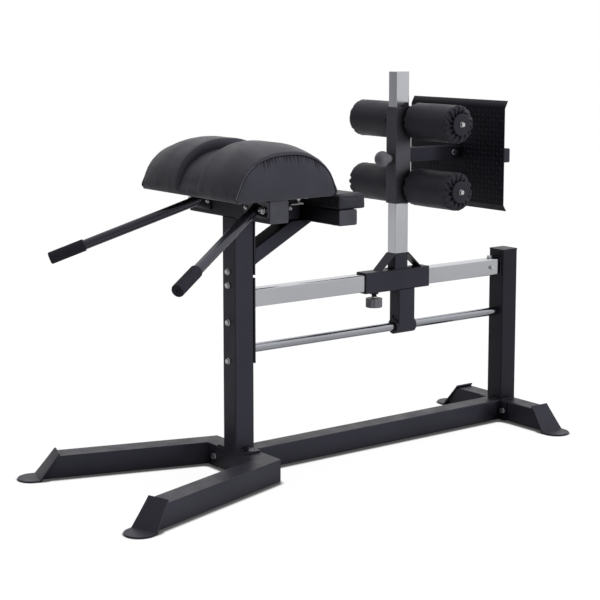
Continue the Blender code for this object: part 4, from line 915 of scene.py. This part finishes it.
def make_roller(level, side, word):
    """A foam roller in its gathered cover: pleats run in under the disc at its end."""
    node = f"roller_{level}_{word}"
    low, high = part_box(node)
    centre = (low + high) / 2
    radius, half = (high.z - low.z) / 2, (high.y - low.y) / 2
    seed = {"lower": 1, "upper": 2}[level] * 10 + side
    rng = random.Random(seed)
    weights = [0.75 + 0.5 * rng.random() for _ in range(ROLLER_PLEATS)]
    total = sum(weights)
    depths = [0.75 + 0.45 * rng.random() for _ in range(ROLLER_PLEATS)]
    lengths = [0.037 + 0.014 * rng.random() for _ in range(ROLLER_PLEATS)]
    bounds = [0.0]
    for weight in weights:
        bounds.append(bounds[-1] + 2 * math.pi * weight / total)

    def pleat(turn):
        """The number of the pleat at this turn, and how far across it the turn lies, from 0 to 1."""
        turn %= 2 * math.pi
        for k in range(ROLLER_PLEATS):
            if turn <= bounds[k + 1]:
                return k, (turn - bounds[k]) / (bounds[k + 1] - bounds[k])
        return 0, 0.0

    # rings of (radius, height, how far the skin's normal leans outward, way travelled from the disc)
    flat_end = radius - ROLLER_EDGE
    rings = [(0.0146, half - 0.0050, 0.0, 0.0), (0.0320, half - 0.0050, 0.0, 0.0)]
    for i in range(6):
        r = DISC_RIM + (flat_end - DISC_RIM) * i / 6
        sunk = 0.0040 * (1 - smooth((r - DISC_RIM) / 0.006))
        rings.append((r, half - sunk, 0.0, max(r - DISC_RIM, 0.0)))
    for i in range(19):
        angle = math.pi / 2 * i / 18
        r, h = flat_end + ROLLER_EDGE * math.sin(angle), half - ROLLER_EDGE + ROLLER_EDGE * math.cos(angle)
        rings.append((r, h, angle, flat_end - DISC_RIM + ROLLER_EDGE * angle))
    way = flat_end - DISC_RIM + ROLLER_EDGE * math.pi / 2
    for away in (0.003, 0.007, 0.012, 0.020, 0.032, 0.050):
        rings.append((radius, half - ROLLER_EDGE - away, math.pi / 2, way + away))
    rings.append((radius, 0.015, math.pi / 2, 1.0))
    rings += [(r, -h, lean, way) for r, h, lean, way in reversed(rings)]
    steps = ROLLER_PLEATS * 22
    verts = []
    for r, h, lean, way in rings:
        end = 1 if h > 0 else -1
        for turn in around(steps):
            twist = -0.20 * smooth(way / 0.045) * end
            number, share = pleat(turn + twist + (1.9 if end < 0 else 0.0))
            run = way / lengths[number]
            # a pocket is as wide as its pleat near the disc and closes in a half circle
            far = max((run - 0.55) / 0.45, 0.0)
            width = 0.43 * math.sqrt(max(1 - far * far, 0.0))
            across = abs(share - 0.5)
            inside = min((width - across) / 0.20, (1 - run) / 0.34)
            dent = smooth(inside) * (0.60 + 0.40 * max(1 - run, 0.0)) * depths[number]
            rim = math.exp(-(inside / 0.30) ** 2) * (1 - smooth((way - 0.044) / 0.010))
            ripple = 0.0006 * math.sin(turn * 31 + h * 300) * (1 - smooth((way - 0.030) / 0.02))
            slack = 0.0005 * wander(turn * 3 + h * 40, seed) * smooth((way - 0.04) / 0.02)
            sink = 0.0082 * dent - 0.0012 * rim + 0.0014 + ripple * 0.5 + slack
            if way == 0.0:
                sink = 0.0
            rr = r - sink * math.sin(lean)
            hh = h - end * sink * math.cos(lean)
            verts.append((centre.x + rr * math.cos(turn), centre.y + hh, centre.z + rr * math.sin(turn)))
    faces = grid_faces(len(rings), steps, True)
    # the bore's wall joins the first and the last ring
    last = (len(rings) - 1) * steps
    faces += [(last + k, last + (k + 1) % steps, (k + 1) % steps, k) for k in range(steps)]
    cover = piece(f"roller_cover_{level}_{word}", verts, faces, ROLLER_VINYL, node)
    sharpen(cover, 75)
    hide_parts(node)

    # the screw in the disc's middle
    cap_low, cap_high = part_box(f"roller_cap_{level}_{word}")
    face = cap_high.y if side > 0 else -cap_low.y
    screw = Build()
    seat = Vector((centre.x, side * (face - 0.0071), centre.z))
    hex_head(screw, seat, (0, side, 0), 0.0150, 0.0078, 0.0098)
    screw.piece(f"roller_screw_{level}_{word}", ZINC, "ankle_holder", "zinc")


# ---------------------------------------------------------------- hardware


def make_frame_hardware():
    """Bolts of the post, the handles, the pad and the seat; the pad's clips, the plate's ears, end caps."""
    build = Build()
    for z in (0.6900, 0.6441, 0.5183, 0.3873):
        hex_head(build, post(0, 0.0040, z), (-1, 0, 0), 0.016, 0.0072)
    for side, _ in SIDES:
        hex_head(build, post(-0.0064, side * 0.112, 0.917), (-1, 0, 0), 0.0105, 0.005, 0.0068)
        hex_head(build, post(-0.0064, side * 0.205, 0.917), (-1, 0, 0), 0.020, 0.010, 0.0132, 0.007)
        hex_head(build, post(0.2358, side * 0.025, 0.8877), (0, side, 0), 0.0095, 0.004, 0.0062)
        hex_head(build, post(0.1440, side * 0.190, 0.9405), (0, side, 0), 0.0135, 0.005, 0.0080)
    build.piece("frame_bolts", ZINC, "frame", "zinc")

    # angle clips that hang from the pad's bars: a flat leaf and an upright web
    clips, webs = Build(), Build()
    leaf, thick, web, half = 0.9270, 0.0040, 0.0036, (0.027, 0, 0)
    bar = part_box("pad_bar_left")[0].z
    height = (bar - leaf - thick) / 2
    for side, _ in SIDES:
        clips.slab(post(0.1200, side * 0.2040, leaf), half, (0, 0.0175, 0), (0, 0, thick), 0.004)
        base = post(0.1200, side * (0.190 - web), bar - height)
        webs.slab(base, half, (0, 0, height), (0, side * web, 0), 0.0015)
    clips.piece("pad_clips", ZINC_DULL, "frame", "zinc", False)
    webs.piece("pad_clip_webs", PAINT, "frame", "frame_paint", False)

    # the mount plate's ears, beside the seat tube
    ears = Build()
    plate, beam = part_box("seat_mount_plate"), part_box("seat_beam")
    tall = (beam[0].z - 0.0003 - plate[1].z) / 2
    for side, _ in SIDES:
        base = Vector((plate[0].x, side * 0.03265, plate[1].z + tall))
        ears.slab(base, (0, 0.00735, 0), (0, 0, tall), (plate[1].x - plate[0].x, 0, 0), 0.001)
    ears.piece("mount_plate_ears", PAINT, "frame", "frame_paint", False)

    # plastic caps in the open ends of the two cross beams
    caps, inset = Build(), 0.0006
    for name in ("seat_beam", "rear_beam"):
        low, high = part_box(name)
        middle = (low + high) / 2
        u, v = ((high.x - low.x) / 2 - inset, 0, 0), (0, 0, (high.z - low.z) / 2 - inset)
        for side, _ in SIDES:
            caps.slab((middle.x, side * high.y, middle.z), u, v, (0, side * 0.0024, 0), 0.006, 0.0012)
    caps.piece("beam_end_caps", CAP_PLASTIC, "frame", "plastic", False)

    # bolts up into the pads' boards
    under, seats = Build(), []
    for side, word in SIDES:
        low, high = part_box("pad_bar_" + word)
        seats += [(x, side * 0.190, low.z) for x in (low.x + 0.014, high.x - 0.014)]
    low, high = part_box("rear_beam")
    seats += [((low.x + high.x) / 2, y, low.z) for y in (-0.17, 0.17)]
    for seat in seats:
        hex_head(under, seat, (0, 0, -1), 0.013, 0.0052, 0.0095)
    under.piece("pad_bolts", ZINC, "frame", "zinc")


# A foot from the side, as (reach, height) from the tube's end: the plate's top, its bend above the
# floor and its heel; then the tongue's tip, and the half widths of the solid and of the flared rim
FOOT_TOP = (-0.0016, 0.0901)
FOOT_BEND = (0.0658, 0.0050)
FOOT_HEEL = (0.0594, 0.0)
FOOT_TIP = 0.1316
FOOT_FLAT = 0.0388
FOOT_FLARE = 0.0505


def foot_stations():
    """(inner, outer) plan points, upper and lower heights of half a foot's rim, from its top."""
    drop = (0.0039, 0.0031)
    for step in range(7):
        share = step / 6
        reach = FOOT_TOP[0] + (FOOT_BEND[0] - FOOT_TOP[0]) * share
        height = FOOT_TOP[1] + (FOOT_BEND[1] - FOOT_TOP[1]) * share
        wide = FOOT_FLAT + 0.0006 + (FOOT_FLARE - FOOT_FLAT - 0.0006) * share ** 1.2
        low = FOOT_HEEL if step == 6 else (reach - drop[0], height - drop[1])
        yield (reach, FOOT_FLAT), (reach, wide), height, low[0] - reach, low[1]
    for step in range(1, 13):
        turn = math.pi / 2 * (1 - step / 12)
        inner = (FOOT_TIP - 0.0004 - FOOT_FLAT * (1 - math.cos(turn)), FOOT_FLAT * math.sin(turn))
        outer = (FOOT_TIP - FOOT_FLARE * (1 - math.cos(turn)), FOOT_FLARE * math.sin(turn))
        yield inner, outer, FOOT_BEND[1], 0.0, 0.0


def make_foot_rims():
    """The rims of the four feet, which flare from the tube's end to the round tongue."""
    splay, leg_length, leg_root = math.radians(17.4), 0.595, 0.133
    crossmember_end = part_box("rear_crossmember")[1].x - 0.039
    feet = []
    for side, _ in SIDES:
        out = Vector((-math.cos(splay), side * math.sin(splay), 0))
        across = Vector((math.sin(splay), side * math.cos(splay), 0))
        root = post(0, side * leg_root, 0) - out * 0.075 / math.cos(splay) + across * TUBE_HALF
        feet.append((root + out * leg_length, out))
        feet.append((Vector((crossmember_end, side * 0.2075, 0)), Vector((0, side, 0))))
    rims = Build()
    for origin, out in feet:
        across = out.cross(Vector((0, 0, 1)))
        half = list(foot_stations())
        line = [(s, 1) for s in half] + [(s, -1) for s in reversed(half[:-1])]
        verts = []
        for (inner, outer, height, shift, low), way in line:
            corners = ((inner, 0.0, height + 0.0001), (outer, 0.0, height), (outer, shift, low))
            for (reach, wide), move, z in (*corners, (inner, shift, low)):
                verts.append(origin + out * (reach + move) + across * wide * way + Vector((0, 0, z)))
        ends = [(3, 2, 1, 0), tuple(range(4 * len(line) - 4, 4 * len(line)))]
        rims.take(verts, grid_faces(len(line), 4, True) + ends)
    rims.piece("foot_rims", PAINT, "frame", "frame_paint", False)


def bead(build, points, size, seed):
    """A weld bead: a low rippled rib along points."""
    points = [Vector(p) for p in points]
    line, radii = [], []
    for a, b in zip(points, points[1:]):
        count = max(2, int((b - a).length / BEAD_STEP))
        line += [a.lerp(b, i / count) for i in range(count)]
    line.append(points[-1])
    for i in range(len(line)):
        ripple = 0.5 + 0.5 * math.cos(i * 1.15 + 0.5 * math.sin(i * 0.31 + seed * 1.3))
        radii.append(size * (0.80 + 0.26 * ripple))
    radii[0] = radii[-1] = size * 0.4
    build.sweep(line, radii)


def side_beads(build, box, z, half, inset, size, seeds):
    """A bead along X on either side of a joint, this far in from both ends of its box."""
    for y, seed in zip((-half, half), seeds):
        bead(build, [(box[0].x + inset, y, z), (box[1].x - inset, y, z)], size, seed)


def make_welds():
    """Beads where tubes and plates are joined."""
    build = Build()
    # post on its flange
    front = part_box("front_post")
    side_beads(build, front, front[0].z + 0.0063, TUBE_HALF, 0.004, 0.0026, (-3.75, 3.75))
    # handle tubes on their plates
    for side, _ in SIDES:
        centre = post(-0.0068, side * 0.1654, 0.9173)
        aside, across, _ = frame_of((1, 0, 0))
        turns = around(44) + [2 * math.pi]
        ring = [centre + (aside * math.cos(turn) + across * math.sin(turn)) * 0.0185 for turn in turns]
        bead(build, ring, 0.0026, 2 + side)
    # seat beam under the pad, on the post
    x, top = front[0].x, front[1].z
    side_beads(build, front, top, 0.0378, 0.004, 0.0022, (4, 5))
    bead(build, [(x, -0.033, top), (x, 0.033, top)], 0.0020, 6)
    # strut on its plate
    low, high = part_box("seat_strut")
    x = low.x + 0.001
    for y in (low.y - 0.0002, high.y + 0.0002):
        bead(build, [(x, y, low.z + 0.002), (x, y, low.z + 0.055)], 0.0022, y * 90)
    # rear post on the crossmember
    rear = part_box("rear_post")
    floor = rear[0].z
    side_beads(build, rear, floor, TUBE_HALF, 0.004, 0.0026, (-2.625, 2.625))
    for corner, seed in zip(rear, (9, 10)):
        bead(build, [(corner.x, -0.034, floor), (corner.x, 0.034, floor)], 0.0026, seed)
    build.piece("frame_welds", WELD_PAINT, "frame", "frame_paint")

    moving = Build()
    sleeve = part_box("carriage_sleeve")
    side_beads(moving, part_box("upright_socket"), sleeve[1].z, 0.0222, 0.056, 0.0022, (-2.22, 2.22))
    side_beads(moving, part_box("drop_arm"), sleeve[0].z, 0.0225, 0.012, 0.0022, (-1.35, 1.35))
    moving.piece("carriage_welds", WELD_PAINT, "carriage", "frame_paint")

    holder = Build()
    low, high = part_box("foot_plate_arm")
    x = low.x - 0.0003
    for y in (low.y, high.y):
        bead(holder, [(x, y, low.z + 0.003), (x, y, high.z - 0.003)], 0.0022, y * 50)
    for z in (low.z, high.z):
        bead(holder, [(x, low.y + 0.003, z), (x, high.y - 0.003, z)], 0.0022, z * 9)
    holder.piece("holder_welds", WELD_PAINT, "ankle_holder", "frame_paint")


def make_tread():
    """Raised lozenges over the foot plate's face, in two slants by turns, with room for the arm."""
    arm_low, arm_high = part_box("foot_plate_arm")
    face_x = post(1.0108, 0, 0).x
    build = Build()
    pitch_y, pitch_z, width = 0.0190, 0.0170, 0.48
    z_low, z_high = 0.868, 1.204
    rows, columns = int((z_high - z_low) / pitch_z), int(width / pitch_y)
    for i in range(rows + 1):
        z = (z_low + z_high) / 2 + (i - rows / 2) * pitch_z
        for j in range(columns + 1):
            y = (j - columns / 2) * pitch_y
            if abs(y) < 0.036 and arm_low.z - 0.012 < z < arm_high.z + 0.012:
                continue
            slant = math.radians(38 if (i + j) % 2 else -38)
            along = Vector((0, math.cos(slant), math.sin(slant)))
            across = Vector((0, -math.sin(slant), math.cos(slant)))
            verts = []
            for scale, lift in ((1.0, 0.0003), (0.88, -0.0005), (0.50, -0.0009)):
                for turn in around(12):
                    a = along * 0.0074 * scale * math.cos(turn)
                    b = across * 0.0021 * scale * math.sin(turn)
                    verts.append(Vector((face_x, y, z)) + a + b + Vector((lift, 0, 0)))
            build.take(verts, tube_faces(3, 12))
    build.piece("foot_plate_tread", PLATE_PAINT, "ankle_holder", "frame_paint")


def make_knob_fittings():
    """The clamp knob's bright stem, up to the carriage, and a black disc of painted shade in the drop arm's
    hole.
    """
    low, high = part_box("clamp_knob")
    centre = (low + high) / 2
    start = low.z + 0.0318
    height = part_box("carriage_sleeve")[0].z - 0.0008 - start
    profile = [(0.0106, 0), (0.0114, 0.0008), (0.0114, 0.0062), (0.0094, 0.0066), (0.0094, height)]
    stem = Build()
    stem.lathe((centre.x, centre.y, start), (0, 0, 1), profile, 24)
    stem.piece("clamp_knob_stem", ZINC, "clamp_knob", "zinc")
    # a disc with almost no colour and no reflection: painted shade standing for the dark inside of the hole
    hole_disc = Build()
    profile = [(0.0052, -0.0004), (0.0052, 0.0003), (0.0048, 0.0006)]
    hole_disc.lathe(post(0.7210, 0.0058, 0.4560), (-1, 0, 0), profile, 20)
    hole_disc.piece("arm_hole_shade", HOLE_SHADE, "carriage", "liner")


# ---------------------------------------------------------------- stage


def make_floor():
    """A floor that the camera sees as the white backdrop, with a painted contact shadow just before what
    stands on it.
    """
    reach = 6.0
    mesh = bpy.data.meshes.new("floor")
    corners = [(-reach, -reach, 0), (reach, -reach, 0), (reach, reach, 0), (-reach, reach, 0)]
    mesh.from_pydata(corners, [], [(0, 1, 2, 3)])
    floor = add_object("floor", mesh)
    floor.location.z = -0.0004
    material = bpy.data.materials.new("pale_floor")
    material.use_nodes = True
    g = Graph(material.node_tree)
    shader = g.tree.nodes["Principled BSDF"]
    shader.inputs["Roughness"].default_value = 0.9
    shader.inputs["Specular IOR Level"].default_value = 0.0
    shader.inputs["Base Color"].default_value = (0.46, 0.46, 0.46, 1)
    # painted contact shadow: the white the camera sees falls almost to nothing where ambient occlusion
    # finds a part close by
    nook = g.add("ShaderNodeAmbientOcclusion", samples=24)
    nook.inputs["Distance"].default_value = 0.027
    bright = g.mapped(nook.outputs["AO"], 0.62, 0.97, 0.070, 1.10, interpolation_type="SMOOTHSTEP")
    glow = g.add("ShaderNodeEmission")
    glow.inputs["Color"].default_value = (1, 1, 1, 1)
    g.link(bright, glow.inputs["Strength"])
    ray = g.add("ShaderNodeLightPath").outputs
    seen = g.maths("MULTIPLY", ray["Is Camera Ray"], 0.85)
    mirrored = g.maths("MULTIPLY", ray["Is Glossy Ray"], 0.35)
    mix = g.add("ShaderNodeMixShader")
    g.link(g.maths("MAXIMUM", seen, mirrored), mix.inputs["Fac"])
    g.link(shader.outputs["BSDF"], mix.inputs[1])
    g.link(glow.outputs["Emission"], mix.inputs[2])
    g.link(mix.outputs["Shader"], g.tree.nodes["Material Output"].inputs["Surface"])
    mesh.materials.append(material)


def make_world():
    """A white room, brighter towards +X and overhead, that lights matt faces less than it shows."""
    world = bpy.data.worlds.new("studio")
    bpy.context.scene.world = world
    world.use_nodes = True
    g = Graph(world.node_tree)
    parts = g.add("ShaderNodeSeparateXYZ")
    g.link(g.add("ShaderNodeTexCoord").outputs["Generated"], parts.inputs["Vector"])
    ray = g.add("ShaderNodeLightPath").outputs
    wall = g.mapped(parts.outputs["X"], -0.85, 0.60, 0.34, 0.92, interpolation_type="SMOOTHSTEP")
    sky = g.mapped(parts.outputs["Z"], 0.05, 0.85, 0.0, 0.40, interpolation_type="SMOOTHSTEP")
    soft = g.mapped(ray["Is Diffuse Ray"], 0.0, 1.0, 1.0, 0.36)
    lit = g.maths("MULTIPLY", g.maths("ADD", wall, sky), soft)
    seen = g.maths("MAXIMUM", ray["Is Camera Ray"], ray["Is Transmission Ray"])
    background = g.tree.nodes["Background"]
    background.inputs["Color"].default_value = (1, 1, 1, 1)
    g.link(g.maths("MAXIMUM", seen, lit), background.inputs["Strength"])


def aim(obj, direction):
    obj.rotation_euler = direction.to_track_quat("-Z", "Y").to_euler()


def make_lights():
    """Three wide suns, from above, the side and behind, and a soft lamp before the cushions."""
    for name, place, spread, power in (
        ("top_light", (0.5, 0.1, 4.2), 44, 2.10),
        ("side_light", (1.9, -3.8, 0.45), 15, 2.60),
        ("back_light", (-1.6, 3.4, 2.4), 60, 0.40),
    ):
        lamp = bpy.data.lights.new(name, "SUN")
        lamp.angle, lamp.energy = math.radians(spread), power
        obj = add_object(name, lamp)
        aim(obj, -Vector(place))
        obj.visible_glossy = False

    lamp = bpy.data.lights.new("front_fill", "AREA")
    lamp.energy, lamp.size = 13.0, 0.8
    obj = add_object("front_fill", lamp)
    obj.location = post(-0.35, -1.75, 1.15)
    aim(obj, post(0.04, -0.1, 0.75) - obj.location)
    obj.visible_glossy = False


def make_camera():
    """The camera at the photograph's place."""
    scene = bpy.context.scene
    camera = bpy.data.cameras.new("camera")
    camera.lens, camera.sensor_width, camera.shift_y = 92.28, 36.0, -0.12
    camera.clip_start, camera.clip_end = 0.1, 100
    obj = add_object("camera", camera)
    obj.location = post(-2.8300, -4.1761, 1.5098)
    yaw, pitch = math.radians(36.813), math.radians(7.603)
    aim(obj, Vector((math.sin(yaw) * math.cos(pitch), math.cos(yaw) * math.cos(pitch), -math.sin(pitch))))
    scene.camera = obj
    scene.view_settings.view_transform = "Standard"


dress_nodes()
make_hip_cushion()
make_knee_cushion()
for height in ("lower", "upper"):
    for way, label in SIDES:
        make_roller(height, way, label)
make_frame_hardware()
make_foot_rims()
make_welds()
make_tread()
make_knob_fittings()
make_floor()
make_world()
make_lights()
make_camera()
